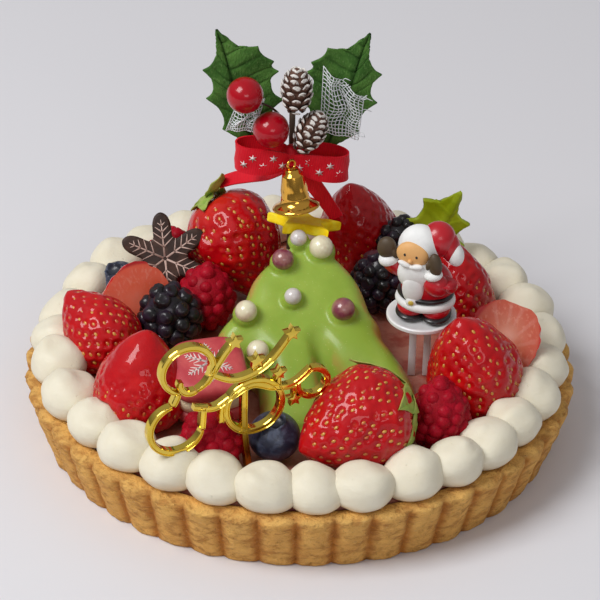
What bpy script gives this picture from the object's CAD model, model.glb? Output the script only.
"""A round strawberry tart for the winter holidays, with its fruit, cream, mousse tree and trimmings.

Lengths are millimetres until a finished piece is scaled to metres. The origin is the middle of the
crust's underside, +Z is up, and the front of the tart faces -Y.
"""

import math
import random

import bmesh
import bpy
from bpy.props import FloatProperty, FloatVectorProperty, IntProperty, PointerProperty
from mathutils import Matrix, Vector, noise
from mathutils.bvhtree import BVHTree
from mathutils.kdtree import KDTree


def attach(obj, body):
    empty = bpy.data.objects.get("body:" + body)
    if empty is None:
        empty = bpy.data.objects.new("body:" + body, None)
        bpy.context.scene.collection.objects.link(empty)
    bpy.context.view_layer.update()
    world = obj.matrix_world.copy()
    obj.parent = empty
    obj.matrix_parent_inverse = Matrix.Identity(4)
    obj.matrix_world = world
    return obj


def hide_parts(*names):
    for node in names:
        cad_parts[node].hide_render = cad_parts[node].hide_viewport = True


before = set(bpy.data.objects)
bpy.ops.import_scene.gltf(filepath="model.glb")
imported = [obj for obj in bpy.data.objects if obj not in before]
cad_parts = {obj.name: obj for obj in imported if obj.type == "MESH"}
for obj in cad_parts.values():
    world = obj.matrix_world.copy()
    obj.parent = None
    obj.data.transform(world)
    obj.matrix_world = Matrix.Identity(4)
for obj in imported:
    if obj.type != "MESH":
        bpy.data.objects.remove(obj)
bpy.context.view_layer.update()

bl_info = {
    "name": "Winter strawberry tart",
    "version": (1, 0, 0),
    "blender": (4, 5, 0),
    "location": "3D View > Sidebar > Tart",
    "description": "Adds the pieces of a decorated strawberry tart round its solid parts",
    "category": "Object",
}

MM = 0.001
TAU = 2 * math.pi
UP = Vector((0, 0, 1))
DECK = 21.3

# Crust
RIM_THICKNESS = 6.6
FLOOR_THICKNESS = 4.0
FLOOR_RADIUS = 76.5
STEPS_PER_FLUTE = 14

# Cream border: the angle of each dollop from the front, in degrees, with + to the right
DOLLOP_ANGLES = (
    -18.5, -6.7, 4.2, 15.1, 26.9, 38.1, 48.7, 59.8, 71.4, 84.2, 96.2, 109.5, 121.3, 132.9, 144.3, 155.7,
    166.7, 177.7, 188.6, 199.6, 210.6, 220.5, 232.3, 244.9, 258.0, 269.1, 279.6, 293.1, 306.0, 317.5, 330.1,
)
DOLLOP_CIRCLE = 78.6

# Green mousse tree: its outline from above, and its face, which slopes up to the back
TREE_FRONT_Y = -40.0
TREE_FRONT_Z = 25.0
TREE_SLOPE = 0.582
GROOVE = (Vector((10.5, -25.0)), Vector((4.0, -11.5)))
TREE_OUTLINE = (
    (-12.0, -43.5), (9.0, -43.5), (10.5, -31.0), (9.5, -23.0), (20.0, -27.0), (34.0, -33.5), (38.5, -29.0),
    (36.0, -22.0), (31.0, -14.5), (25.5, -8.5), (26.5, -5.5), (22.5, -2.0), (21.0, 1.0), (19.0, 5.0),
    (14.0, 11.0), (8.0, 15.5), (1.5, 17.5), (-5.0, 15.5), (-11.0, 11.5), (-16.5, 5.5), (-18.3, 1.0),
    (-19.5, -1.5), (-23.0, -4.0), (-27.0, -8.5), (-27.6, -13.0), (-25.0, -17.0), (-16.0, -17.6),
    (-13.0, -23.0), (-12.5, -32.0),
)
# Each pearl: its centre, its diameter and its colour
PEARLS = (
    ((-1.5, 14.1, 59.2), 5.5, "silver"),
    ((5.9, 11.4, 57.6), 7.8, "white"),
    ((-6.3, 7.3, 55.2), 7.2, "purple"),
    ((-2.8, -4.3, 48.5), 5.6, "silver"),
    ((13.4, -7.9, 46.4), 7.6, "purple"),
    ((-17.7, -9.3, 45.6), 7.2, "white"),
    ((-13.5, -21.6, 38.6), 7.2, "white"),
)

# Whole strawberries: the middle, the way that the tip points, length, width, and how thick the glaze lies
STRAWBERRIES = {
    "strawberry_left": ((-66.4, -1.6, 32.6), (-0.62, 0.42, 0.62), 30.5, 25.5, 0.3),
    "strawberry_glazed": ((-50.0, -34.0, 35.0), (0.12, 0.10, 1.0), 35.0, 30.0, 1.0),
    "strawberry_rear_left": ((-21.0, 40.0, 39.0), (0.50, -0.32, -0.75), 39.5, 31.4, 0.0),
    "strawberry_rear_right": ((18.6, 54.0, 38.5), (-0.18, -0.16, 1.0), 40.0, 29.5, 0.6),
    "strawberry_front": ((17.0, -57.0, 35.8), (-0.80, -0.52, -0.16), 40.0, 32.4, 0.0),
    "strawberry_right": ((54.8, -24.0, 37.2), (-0.26, -0.12, 1.0), 38.5, 30.8, 0.2),
    "strawberry_rear_dark": ((51.4, 25.5, 35.0), (-0.20, 0.12, 1.0), 33.5, 24.0, 0.5),
}
# Cut slices: the same, with the way that the cut face looks and the slice's thickness
STRAWBERRY_SLICES = {
    "strawberry_slice_left": (
        (-55.6, 12.8, 33.4), (-0.80, -0.30, -0.42), 29.0, 23.0, (0.34, -0.80, 0.50), 6.0,
    ),
    "strawberry_slice_right": (
        (64.4, -13.0, 36.0), (-0.34, -0.52, -0.80), 32.5, 23.0, (-0.06, -0.83, 0.557), 6.0,
    ),
}
# Fruit of many small drupelets: the middle, the way that its top points, height and width
CLUSTER_BERRIES = {
    "raspberry_left": ((-31.5, 18.5, 33.0), (0.05, 0.0, 1.0), 24.0, 19.5),
    "raspberry_front": ((-27.0, -59.4, 30.2), (-0.1, 0.35, 1.0), 22.5, 20.0),
    "raspberry_right": ((44.2, -44.8, 31.6), (0.0, 0.15, 1.0), 25.0, 19.6),
    "raspberry_rear_left": ((-44.0, 46.0, 31.0), (0.1, 0.1, 1.0), 20.5, 18.0),
    "dark_berry_left": ((-43.0, 7.0, 32.8), (-0.2, -0.25, 1.0), 24.0, 21.5),
    "dark_berry_right": ((25.5, 30.0, 33.5), (0.0, -0.1, 1.0), 24.0, 18.5),
    "dark_berry_rear": ((32.4, 45.2, 38.4), (0.1, 0.12, 1.0), 20.0, 17.4),
}
# Blueberries: the middle, the way that the crown looks, and the diameter
BLUEBERRIES = {
    "blueberry_front": ((-7.4, -54.8, 29.0), (0.0, -0.25, 1.0), 16.4),
    "blueberry_rear_left": ((-61.0, 33.5, 28.5), (-0.3, -0.3, 1.0), 14.0),
}
SEED_SPACING = 3.7
SEED_HALF_SIZES = (0.50, 0.80, 0.32)


def paint(red, green, blue):
    """The linear colour of three everyday 0 to 255 values."""
    shares = (red / 255, green / 255, blue / 255)
    return tuple(((share + 0.055) / 1.055) ** 2.4 if share > 0.04045 else share / 12.92 for share in shares)


def colour_setting(name, description, *values):
    return FloatVectorProperty(
        name=name, description=description, subtype="COLOR", size=3, min=0.0, max=1.0, default=paint(*values)
    )


def length_setting(name, description, millimetres):
    return FloatProperty(
        name=name, description=description, subtype="DISTANCE", unit="LENGTH", min=0.0,
        default=millimetres * MM,
    )


# Finishes


class Value:
    """What a material's node gives, so that sums can be written as plain expressions."""

    def __init__(self, finish, socket):
        self.finish = finish
        self.socket = socket

    def math(self, operation, *others, swapped=False, clamp=False):
        values = [self, *others]
        if swapped:
            values.reverse()
        settings = {"operation": operation, "use_clamp": clamp}
        return self.finish.node("ShaderNodeMath", settings, dict(enumerate(values)))

    def __add__(self, other):
        return self.math("ADD", other)

    def __radd__(self, other):
        return self.math("ADD", other)

    def __sub__(self, other):
        return self.math("SUBTRACT", other)

    def __rsub__(self, other):
        return self.math("SUBTRACT", other, swapped=True)

    def __mul__(self, other):
        return self.math("MULTIPLY", other)

    def __rmul__(self, other):
        return self.math("MULTIPLY", other)

    def sine(self):
        return self.math("SINE")

    def clamped(self):
        return self.math("ADD", 0.0, clamp=True)

    def step(self, low, high):
        """0 below low and 1 above high, with a smooth change between."""
        settings = {"interpolation_type": "SMOOTHSTEP"}
        return self.finish.node("ShaderNodeMapRange", settings, {"Value": self, 1: low, 2: high})


class Finish:
    """A procedural material. Its lengths are millimetres."""

    def __init__(self, name, **numbers):
        self.material = bpy.data.materials.new(name)
        self.material.use_nodes = True
        self.tree = self.material.node_tree
        self.shader = self.tree.nodes["Principled BSDF"]
        for key, value in numbers.items():
            self.shader.inputs[key.replace("_", " ").title().replace("Ior", "IOR")].default_value = value
        self.places = None

    def node(self, kind, settings=None, inputs=None, output=0):
        made = self.tree.nodes.new(kind)
        for key, value in (settings or {}).items():
            setattr(made, key, value)
        for key, value in (inputs or {}).items():
            self.connect(made.inputs[key], value)
        return Value(self, made.outputs[output])

    def connect(self, socket, value):
        if isinstance(value, Value):
            self.tree.links.new(value.socket, socket)
        elif socket.type == "RGBA" and len(value) == 3:
            socket.default_value = (*value, 1.0)
        else:
            socket.default_value = value

    def feed(self, **sockets):
        for key, value in sockets.items():
            self.connect(self.shader.inputs[key.replace("_", " ").title()], value)
        return self

    def place(self):
        """The object's own coordinates, in metres."""
        if self.places is None:
            self.places = self.node("ShaderNodeTexCoord", output="Object")
        return self.places

    def turned_place(self, frame_matrix):
        """The object's coordinates seen from a placing matrix in millimetres."""
        location = [value * MM for value in frame_matrix.to_translation()]
        turn = tuple(frame_matrix.to_euler())
        inputs = {"Vector": self.place(), "Location": location, "Rotation": turn}
        return self.node("ShaderNodeMapping", {"vector_type": "TEXTURE"}, inputs)

    def stretched(self, scale):
        return self.node("ShaderNodeMapping", None, {"Vector": self.place(), "Scale": scale})

    def parts(self, vector):
        """The three coordinates of a vector, in millimetres."""
        split = self.node("ShaderNodeSeparateXYZ", None, {"Vector": vector}).socket.node
        return [Value(self, socket) * (1 / MM) for socket in split.outputs]

    def patches(self, size, detail=3.0, rough=0.55, vector=None, distortion=0.0):
        inputs = {
            "Vector": vector or self.place(), "Scale": 1 / (size * MM), "Detail": detail, "Roughness": rough,
            "Distortion": distortion,
        }
        return self.node("ShaderNodeTexNoise", {"noise_dimensions": "3D"}, inputs)

    def cells(self, size):
        inputs = {"Vector": self.place(), "Scale": 1 / (size * MM)}
        return self.node("ShaderNodeTexVoronoi", {"feature": "F1"}, inputs)

    def attribute(self, name):
        return self.node("ShaderNodeAttribute", {"attribute_name": name}, output="Fac")

    def mix(self, share, first, second):
        """A colour between two others."""
        settings = {"data_type": "RGBA", "clamp_factor": True}
        made = self.node("ShaderNodeMix", settings, {0: share, 6: first, 7: second})
        return Value(self, made.socket.node.outputs[2])

    def bump(self, height, depth, strength):
        """Small relief. depth is the distance between height 0 and height 1."""
        inputs = {"Height": height, "Distance": depth * MM, "Strength": strength}
        return self.node("ShaderNodeBump", None, inputs)


# Shapes


def smooth_step(value, low, high):
    share = min(max((value - low) / (high - low), 0.0), 1.0)
    return share * share * (3 - 2 * share)


def pointing(direction, middle, turn=0.0):
    """The placing matrix that takes +Z to a direction and the origin to a middle."""
    facing = Vector(direction).normalized().to_track_quat("Z", "Y").to_matrix().to_4x4()
    return Matrix.Translation(middle) @ facing @ Matrix.Rotation(math.radians(turn), 4, "Z")


def stretch(*sizes):
    """The matrix that gives a round body of radius 1 its three half sizes."""
    return Matrix.Diagonal((*sizes, 1.0))


def rotation(degrees, axis):
    return Matrix.Rotation(math.radians(degrees), 4, axis)


def ball(bm, matrix, segments, rows):
    """A round body, placed, stretched and turned by a matrix. It returns its points."""
    made = bmesh.ops.create_uvsphere(bm, u_segments=segments, v_segments=rows, radius=1.0, matrix=matrix)
    return made["verts"]


def bead_shape(detail, material=0):
    """A small round shape of few faces, to be stamped many times."""
    bm = bmesh.new()
    bmesh.ops.create_icosphere(bm, subdivisions=detail, radius=1.0)
    for face in bm.faces:
        face.material_index = material
    mesh = bpy.data.meshes.new("bead")
    bm.to_mesh(mesh)
    bm.free()
    return mesh


def stamp(bm, shape, matrices):
    """Add a copy of a small mesh at each placing matrix."""
    for matrix in matrices:
        copy = shape.copy()
        copy.transform(matrix)
        bm.from_mesh(copy)
        bpy.data.meshes.remove(copy)
    bpy.data.meshes.remove(shape)


def turned(profile, steps):
    """A body of revolution about Z through (radius, height) pairs, as a new bmesh."""
    bm = bmesh.new()
    line = [bm.verts.new((radius, 0.0, height)) for radius, height in profile]
    edges = [bm.edges.new(pair) for pair in zip(line, line[1:])]
    bmesh.ops.spin(
        bm, geom=line + edges, cent=(0, 0, 0), axis=(0, 0, 1), dvec=(0, 0, 0), angle=TAU, steps=steps,
        use_merge=True, use_duplicate=False,
    )
    bmesh.ops.remove_doubles(bm, verts=bm.verts, dist=0.0005)
    return bm


def course(route, closed=False):
    """The direction of a route at each of its points."""
    last = len(route) - 1
    ways = []
    for index in range(len(route)):
        before = route[index - 1] if closed else route[max(index - 1, 0)]
        after = route[(index + 1) % len(route)] if closed else route[min(index + 1, last)]
        ways.append((Vector(after) - Vector(before)).normalized())
    return ways


def bar(bm, route, section_at, side_ways, closed=False):
    """A bar whose section is extruded from point to point of a route.

    section_at(share) gives (across, out) pairs, and side_ways holds the way that across takes at each point.
    """
    ways = course(route, closed)

    def ring(index):
        share = index / max(len(route) - 1, 1)
        across = Vector(side_ways[index]).normalized()
        out = ways[index].cross(across).normalized()
        return [Vector(route[index]) + across * wide + out * deep for wide, deep in section_at(share)]

    first = [bm.verts.new(point) for point in ring(0)]
    face = bm.faces.new(first)
    stations = list(range(1, len(route))) + ([0] if closed else [])
    verts = list(first)
    for index in stations:
        face = bmesh.ops.extrude_discrete_faces(bm, faces=[face])["faces"][0]
        for vert, point in zip(face.verts, ring(index)):
            vert.co = point
            verts.append(vert)
    if closed:
        bmesh.ops.delete(bm, geom=[face], context="FACES_ONLY")
        bmesh.ops.remove_doubles(bm, verts=verts, dist=0.0005)
    else:
        bm.faces.new(list(reversed(first)))


def box_section(width, depth):
    """A rectangular section, as a function of the share along a bar."""
    half, deep = width / 2, depth / 2
    return lambda share: ((-half, -deep), (half, -deep), (half, deep), (-half, deep))


def tapered_section(start, end, depth):
    """A rectangular section whose width changes evenly along a bar."""
    return lambda share: box_section(start + (end - start) * share, depth)(share)


def round_section(radius, sides):
    """A round section, as a function of the share along a bar."""
    angles = [TAU * step / sides for step in range(sides)]
    points = [(radius * math.cos(angle), radius * math.sin(angle)) for angle in angles]
    return lambda share: points


def curved(points, steps):
    """A smooth route through a few points."""
    knots = [Vector(point) for point in points]
    route = []
    for index in range(len(knots) - 1):
        before = knots[max(index - 1, 0)]
        start, end = knots[index], knots[index + 1]
        after = knots[min(index + 2, len(knots) - 1)]
        for step in range(steps):
            t = step / steps
            route.append(
                0.5 * ((2 * start) + (end - before) * t + (2 * before - 5 * start + 4 * end - after) * t * t
                       + (3 * start - before - 3 * end + after) * t ** 3)
            )
    route.append(knots[-1])
    return route


def slab(outline, thickness, bevel=0.0, segments=2):
    """A flat plate in XY of an anticlockwise outline, centred on its thickness, with bevelled edges."""
    bm = bmesh.new()
    face = bm.faces.new([bm.verts.new((x, y, -thickness / 2)) for x, y in outline])
    grown = bmesh.ops.extrude_face_region(bm, geom=[face])
    top = [item for item in grown["geom"] if isinstance(item, bmesh.types.BMVert)]
    bmesh.ops.translate(bm, vec=(0, 0, thickness), verts=top)
    bmesh.ops.recalc_face_normals(bm, faces=bm.faces)
    if bevel:
        rims = [edge for edge in bm.edges if abs(edge.verts[0].co.z - edge.verts[1].co.z) < thickness / 2]
        bmesh.ops.bevel(
            bm, geom=rims, offset=bevel, affect="EDGES", segments=segments, profile=0.5, material=-1
        )
    return bm


def star_outline(points, outer, waist):
    outline = []
    for step in range(points * 2):
        angle = math.pi / 2 + math.pi * step / points
        radius = outer if step % 2 == 0 else waist
        outline.append((radius * math.cos(angle), radius * math.sin(angle)))
    return outline


def join(bm, part, matrix=None):
    """Add a second bmesh to the first, placed, and use it up."""
    if matrix is not None:
        part.transform(matrix)
    mesh = bpy.data.meshes.new("part")
    part.to_mesh(mesh)
    part.free()
    bm.from_mesh(mesh)
    bpy.data.meshes.remove(mesh)
    return bm


def applied(bm, modifiers):
    """The bmesh after some modifiers, given as (type, settings)."""
    mesh = bpy.data.meshes.new("work")
    bm.to_mesh(mesh)
    bm.free()
    work = bpy.data.objects.new("work", mesh)
    bpy.context.scene.collection.objects.link(work)
    for kind, settings in modifiers:
        step = work.modifiers.new(kind.lower(), kind)
        for key, value in settings.items():
            setattr(step, key, value)
    bpy.context.view_layer.update()
    made = bmesh.new()
    made.from_object(work, bpy.context.evaluated_depsgraph_get())
    bpy.data.objects.remove(work, do_unlink=True)
    return made


def solid_of(node):
    """The surface of a CAD node in millimetres, for finding what stands outside it."""
    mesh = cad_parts[node].data
    points = [vert.co / MM for vert in mesh.vertices]
    return BVHTree.FromPolygons(points, [tuple(face.vertices) for face in mesh.polygons])


def press_into(bm, node, slack=0.8):
    """Press what stands outside a solid back to it, as fruit gives way to its neighbours and its seat."""
    solid = solid_of(node)
    for vert in bm.verts:
        seat, normal, _, distance = solid.find_nearest(vert.co)
        if distance > slack and (vert.co - seat).dot(normal) > 0:
            vert.co = seat + (vert.co - seat).normalized() * slack


def stand_on_deck(bm):
    for vert in bm.verts:
        vert.co.z = max(vert.co.z, DECK)


def keep(bm, name, values):
    """Store a number for each point, for the piece's material to read."""
    layer = bm.verts.layers.float.get(name) or bm.verts.layers.float.new(name)
    for vert in bm.verts:
        vert[layer] = values(vert)


def make_piece(name, bm, finishes, slot, *nodes, smooth=True, sharp=None):
    """Turn a finished bmesh into a piece of the tart that stands for some CAD nodes."""
    bmesh.ops.recalc_face_normals(bm, faces=bm.faces)
    bmesh.ops.scale(bm, vec=(MM, MM, MM), verts=bm.verts)
    for face in bm.faces:
        face.smooth = smooth
    mesh = bpy.data.meshes.new(name)
    bm.to_mesh(mesh)
    bm.free()
    if sharp:
        mesh.set_sharp_from_angle(angle=math.radians(sharp))
    piece = bpy.data.objects.new(name, mesh)
    bpy.context.scene.collection.objects.link(piece)
    for finish in finishes:
        mesh.materials.append(finish.material)
    if nodes:
        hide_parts(*nodes)
    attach(piece, "root")
    return piece


# Settings that a user would change


class CrustSettings(bpy.types.PropertyGroup):
    radius: length_setting("Radius", "Radius of the crust's rim", 90.0)
    foot_radius: length_setting("Foot radius", "Radius of the crust where it stands", 83.8)
    height: length_setting("Height", "Height of the crust", 21.0)
    flutes: IntProperty(name="Flutes", description="How many flutes go round the wall", min=8, default=46)
    flute_depth: length_setting("Flute depth", "How deep the valleys between the flutes are", 2.3)
    light: colour_setting("Light crust", "Colour of the crests", 250, 194, 106)
    dark: colour_setting("Dark crust", "Colour of the valleys", 200, 126, 50)
    filling: colour_setting("Filling", "Colour of the filling", 190, 124, 106)


class CreamSettings(bpy.types.PropertyGroup):
    width: length_setting("Dollop width", "Usual width of a dollop", 18.2)
    height: length_setting("Dollop height", "Usual height of a dollop", 12.8)
    colour: colour_setting("Cream", "Colour of the whipped cream", 232, 225, 204)


class FruitSettings(bpy.types.PropertyGroup):
    strawberry: colour_setting("Strawberry", "Colour of ripe strawberry skin", 182, 0, 12)
    seed: colour_setting("Seed", "Colour of the seeds", 206, 146, 54)
    flesh: colour_setting("Flesh", "Colour of a cut strawberry", 226, 92, 62)
    calyx: colour_setting("Calyx", "Colour of the sepals", 142, 176, 70)
    raspberry: colour_setting("Raspberry", "Colour of the raspberries", 150, 2, 24)
    dark_berry: colour_setting("Dark berry", "Colour of the brambles", 20, 18, 20)
    blueberry: colour_setting("Blueberry", "Colour of the blueberries", 34, 40, 62)


def crust_radius(settings, angle, foot_share):
    """The fluted outer wall: round lobes that meet in sharp valleys. It returns the crest and the inset."""
    phase = (angle * settings.flutes / TAU + 0.5) % 1.0
    lobe = math.sin(math.pi * phase) ** 0.7
    crest = (settings.radius + (settings.foot_radius - settings.radius) * foot_share) / MM
    return crest, settings.flute_depth / MM * (1 - lobe) * (1 - 0.35 * foot_share), 1 - lobe


class TART_OT_crust(bpy.types.Operator):
    """Add the fluted crust and its filling"""

    bl_idname = "tart.add_crust"
    bl_label = "Crust and filling"

    def execute(self, context):
        settings = context.scene.tart_crust
        self.crust(settings)
        self.filling(settings)
        return {"FINISHED"}

    def crust(self, settings):
        rim = settings.radius / MM
        top = settings.height / MM
        foot = settings.foot_radius / MM
        inner = rim - settings.flute_depth / MM / 2 - RIM_THICKNESS
        wall_rows = 20
        profile = [(0.0, 0.0), (40.0, 0.0), (70.0, 0.0), (foot - 5.0, 0.0), (foot - 0.6, 0.0)]
        for row in range(wall_rows + 1):
            share = row / wall_rows
            profile.append((foot + (rim - foot) * share, 0.5 + (top - 1.9) * share))
        profile += [(rim - 0.12, top - 0.6), (rim - 0.5, top - 0.15), (rim - 1.4, top), (rim - 3.2, top)]
        profile += [(rim - 4.6, top), (inner + 1.0, top - 0.1), (inner + 0.2, top - 0.6)]
        profile += [(inner - 0.4, top - 1.6), (FLOOR_RADIUS, FLOOR_THICKNESS)]
        profile += [(40.0, FLOOR_THICKNESS), (0.0, FLOOR_THICKNESS)]
        bm = turned(profile, settings.flutes * STEPS_PER_FLUTE)
        valley = bm.verts.layers.float.new("valley")
        baked = bm.verts.layers.float.new("baked")
        for vert in bm.verts:
            radius = math.hypot(vert.co.x, vert.co.y)
            if radius < foot - 8 or (radius < inner + 0.5 and vert.co.z > 1):
                continue
            angle = math.atan2(vert.co.y, vert.co.x)
            share = 1 - vert.co.z / top
            crest, inset, hollow = crust_radius(settings, angle, share)
            weight = smooth_step(radius, crest - 6.0, crest - 1.2)
            crumb = noise.noise(vert.co * 0.9) * 0.26 + noise.noise(vert.co * 0.22) * 0.5 - 0.15
            crumb -= 0.5 * smooth_step(abs(noise.noise(vert.co * 0.42)), 0.05, 0.0)
            ledge = smooth_step(vert.co.z, top - 3.0, top) * weight
            radius += weight * (crumb - inset) - 0.25 * ledge
            uneven = noise.noise(Vector((math.cos(angle), math.sin(angle), 0)) * 7.0)
            lower = ledge * (0.1 * hollow + 0.8 * abs(noise.noise(vert.co * 0.5)) + 0.5 * max(uneven, 0))
            vert[valley] = hollow * weight
            vert[baked] = ledge
            vert.co = (radius * math.cos(angle), radius * math.sin(angle), max(vert.co.z - lower, 0.0))
        make_piece("baked_crust", bm, [self.pastry(settings)], "crust", "crust")

    def pastry(self, settings):
        finish = Finish("pastry", roughness=0.72, specular_ior_level=0.25)
        valley = finish.attribute("valley")
        ledge = finish.attribute("baked")
        blotch = finish.patches(9.0, 4.0)
        crumb = finish.patches(0.9, 3.0, 0.7)
        shade = (valley.step(0.15, 0.9) * 0.8 + (blotch - 0.5) * 1.1 + 0.2).clamped()
        colour = finish.mix(shade, settings.light, settings.dark)
        colour = finish.mix(ledge.step(0.3, 1.0) * 0.5, colour, paint(240, 192, 112))
        colour = finish.mix(crumb.step(0.58, 0.74) * 0.45, colour, paint(236, 198, 140))
        colour = finish.mix(crumb.step(0.42, 0.30) * 0.35, colour, paint(150, 98, 50))
        flakes = finish.patches(3.6, 6.0, 0.62, finish.stretched((0.8, 0.8, 1.5)), 0.3)
        colour = finish.mix(flakes.step(0.56, 0.34) * 0.6, colour, paint(172, 104, 44))
        height = flakes * 2.2 + crumb * 0.5
        return finish.feed(base_color=colour, normal=finish.bump(height, 1.4, 1.0))

    def filling(self, settings):
        inner = settings.radius / MM - settings.flute_depth / MM / 2 - RIM_THICKNESS
        profile = [(0.0, FLOOR_THICKNESS + 0.3), (FLOOR_RADIUS - 0.7, FLOOR_THICKNESS + 0.3)]
        profile += [(inner - 0.9, 20.2), (inner - 1.4, 20.8)]
        profile += [(inner - 1.4 - step * (inner - 1.4) / 40, 20.9) for step in range(1, 41)]
        bm = turned(profile, 180)
        for vert in bm.verts:
            if vert.co.z > 20.5:
                vert.co.z += 0.35 * noise.noise(vert.co * 0.12) + 0.12 * noise.noise(vert.co * 0.5)
        finish = Finish("filling", roughness=0.42, subsurface_weight=0.2, subsurface_scale=0.003)
        colour = finish.mix(finish.patches(6.0).step(0.4, 0.7), settings.filling, paint(164, 78, 64))
        finish.feed(base_color=colour, normal=finish.bump(finish.patches(2.0), 0.3, 0.6))
        make_piece("filling_top", bm, [finish], "filling", "filling")


class TART_OT_cream(bpy.types.Operator):
    """Add the border of whipped cream dollops"""

    bl_idname = "tart.add_cream"
    bl_label = "Cream dollops"

    def execute(self, context):
        settings = context.scene.tart_cream
        bm = bmesh.new()
        for index, angle in enumerate(DOLLOP_ANGLES):
            join(bm, self.dollop(settings, index, math.radians(angle - 90)))
        finish = Finish(
            "cream", roughness=0.55, subsurface_weight=0.15, subsurface_scale=0.002,
            specular_ior_level=0.3,
        )
        finish.shader.inputs["Subsurface Radius"].default_value = (1.0, 0.9, 0.75)
        pits = finish.cells(2.6).step(0.16, 0.05) * finish.patches(3.0).step(0.5, 0.62)
        folds = finish.patches(2.2, 2.0, 0.5, finish.stretched((1.0, 1.0, 2.4)), 0.8)
        colour = finish.mix(finish.patches(8.0).step(0.35, 0.7) * 0.5, settings.colour, paint(224, 215, 190))
        height = folds * 0.8 - pits * 1.2 + finish.patches(0.5) * 0.14
        finish.feed(base_color=colour, normal=finish.bump(height, 0.26, 0.6))
        make_piece("cream_dollops", bm, [finish], "cream", "cream_border")
        return {"FINISHED"}

    def dollop(self, settings, index, angle):
        """A soft dome that is widest a third of the way up, with a nub where the nozzle left it."""
        width = settings.width / MM + 0.8 * math.sin(index * 2.4)
        height = settings.height / MM + 0.6 * math.sin(index * 1.7 + 1.0)
        seat = Vector((DOLLOP_CIRCLE * math.cos(angle), DOLLOP_CIRCLE * math.sin(angle), DECK))
        shift = Vector((math.sin(index * 5.3), math.cos(index * 3.1), 0)) * width * 0.07
        nub = Vector((math.sin(index * 2.9) * 0.25, math.cos(index * 4.7) * 0.25, 0.95)).normalized()
        along = Vector((-math.sin(angle), math.cos(angle), 0))
        tall = 0.5 + 0.5 * math.sin(index * 7.7)
        bm = bmesh.new()
        for vert in ball(bm, Matrix(), 44, 30):
            way = vert.co.copy()
            x, y, z = way * (width / 2)
            z = height * (0.36 + 0.64 * way.z) if way.z > 0 else max(height * 0.36 * (1 + way.z / 0.62), 0.0)
            lift = max(way.z, 0.0)
            away = Vector((index * 3.3, 0, 0))
            swell = 1 + 0.09 * noise.noise(way * 1.1 + away) + 0.015 * noise.noise(way * 3.0 + away)
            z *= 1 + 0.12 * noise.noise(way * 1.2 - away)
            spiral = 1 + 0.014 * math.sin(3 * math.atan2(way.y, way.x) + 7 * way.z + index) * lift
            point = Vector((x * swell * spiral, y * swell * spiral, z)) + shift * lift
            point += along * point.dot(along) * 0.09
            close = max((way - nub).length, 0.0)
            point.z += 0.8 * tall * math.exp(-((close / 0.22) ** 2)) - 0.35 * math.exp(-((close / 0.5) ** 2))
            vert.co = seat + point
        return bm


def strawberry_share(share):
    """The width of a strawberry from its shoulder end (0) to its tip (1), as a share of the widest."""
    widest = 0.33
    if share < widest:
        return math.sqrt(max(1 - (1 - share / widest) ** 2, 0.0))
    return max(math.cos(math.pi / 2 * (share - widest) / (1 - widest)), 0.0) ** 0.72


def strawberry_point(share, angle, length, width, seed):
    radius = width / 2 * strawberry_share(share)
    height = length * (share - 0.5) if share > 0.03 else length * (share - 0.5) + (0.03 - share) * length
    point = Vector((radius * math.cos(angle), radius * math.sin(angle), height))
    uneven = noise.noise(Vector((point.x, point.y, length * (share - 0.5))) * 0.09 + Vector((seed, 0, 0)))
    return point + Vector((point.x, point.y, 0)) * 0.10 * uneven


def seed_places(length, width, seed):
    """Evenly spread places on a strawberry, each with the way out of the skin."""
    count = int(math.pi * width * length * 0.74 / (SEED_SPACING ** 2 * 0.87))
    areas = [strawberry_share((step + 0.5) / 200) + 0.12 for step in range(200)]
    total = sum(areas)
    places = []
    reached, step = 0.0, 0
    for index in range(count):
        goal = total * (0.05 + 0.93 * (index + 0.5) / count)
        while reached + areas[step] < goal and step < 199:
            reached += areas[step]
            step += 1
        share = (step + (goal - reached) / areas[step]) / 200
        angle = index * 2.39996 + 0.25 * noise.noise((index * 1.7, seed, 0))
        here = strawberry_point(share, angle, length, width, seed)
        along = strawberry_point(min(share + 0.01, 1.0), angle, length, width, seed) - here
        around = strawberry_point(share, angle + 0.02, length, width, seed) - here
        places.append((here, around.cross(along).normalized(), along.normalized()))
    return places


def strawberry_body(length, width, seed, glaze):
    """A dimpled strawberry about Z, with its tip up. A thick glaze fills its dimples near the tip."""
    bm = bmesh.new()
    bmesh.ops.create_uvsphere(bm, u_segments=150, v_segments=110, radius=1.0)
    places = seed_places(length, width, seed)
    finder = KDTree(len(places))
    for index, (here, _, _) in enumerate(places):
        finder.insert(here, index)
    finder.balance()
    pit = bm.verts.layers.float.new("pit")
    ripe = bm.verts.layers.float.new("ripe")
    for vert in bm.verts:
        share = (vert.co.z + 1) / 2
        point = strawberry_point(share, math.atan2(vert.co.y, vert.co.x), length, width, seed)
        _, index, distance = finder.find(point)
        depth = math.exp(-((distance / 1.1) ** 2))
        coat = glaze * smooth_step(share, 0.42, 0.75)
        out = places[index][1]
        vert[pit] = depth * (1 - 0.8 * coat)
        vert[ripe] = share
        wrinkle = 0.25 * noise.noise(point * 0.35 + Vector((0, seed, 0)))
        vert.co = point + out * (wrinkle * (1 - 0.6 * coat) - 0.75 * depth * (1 - 0.92 * coat) + 0.15 * coat)
    return bm, places


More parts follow.
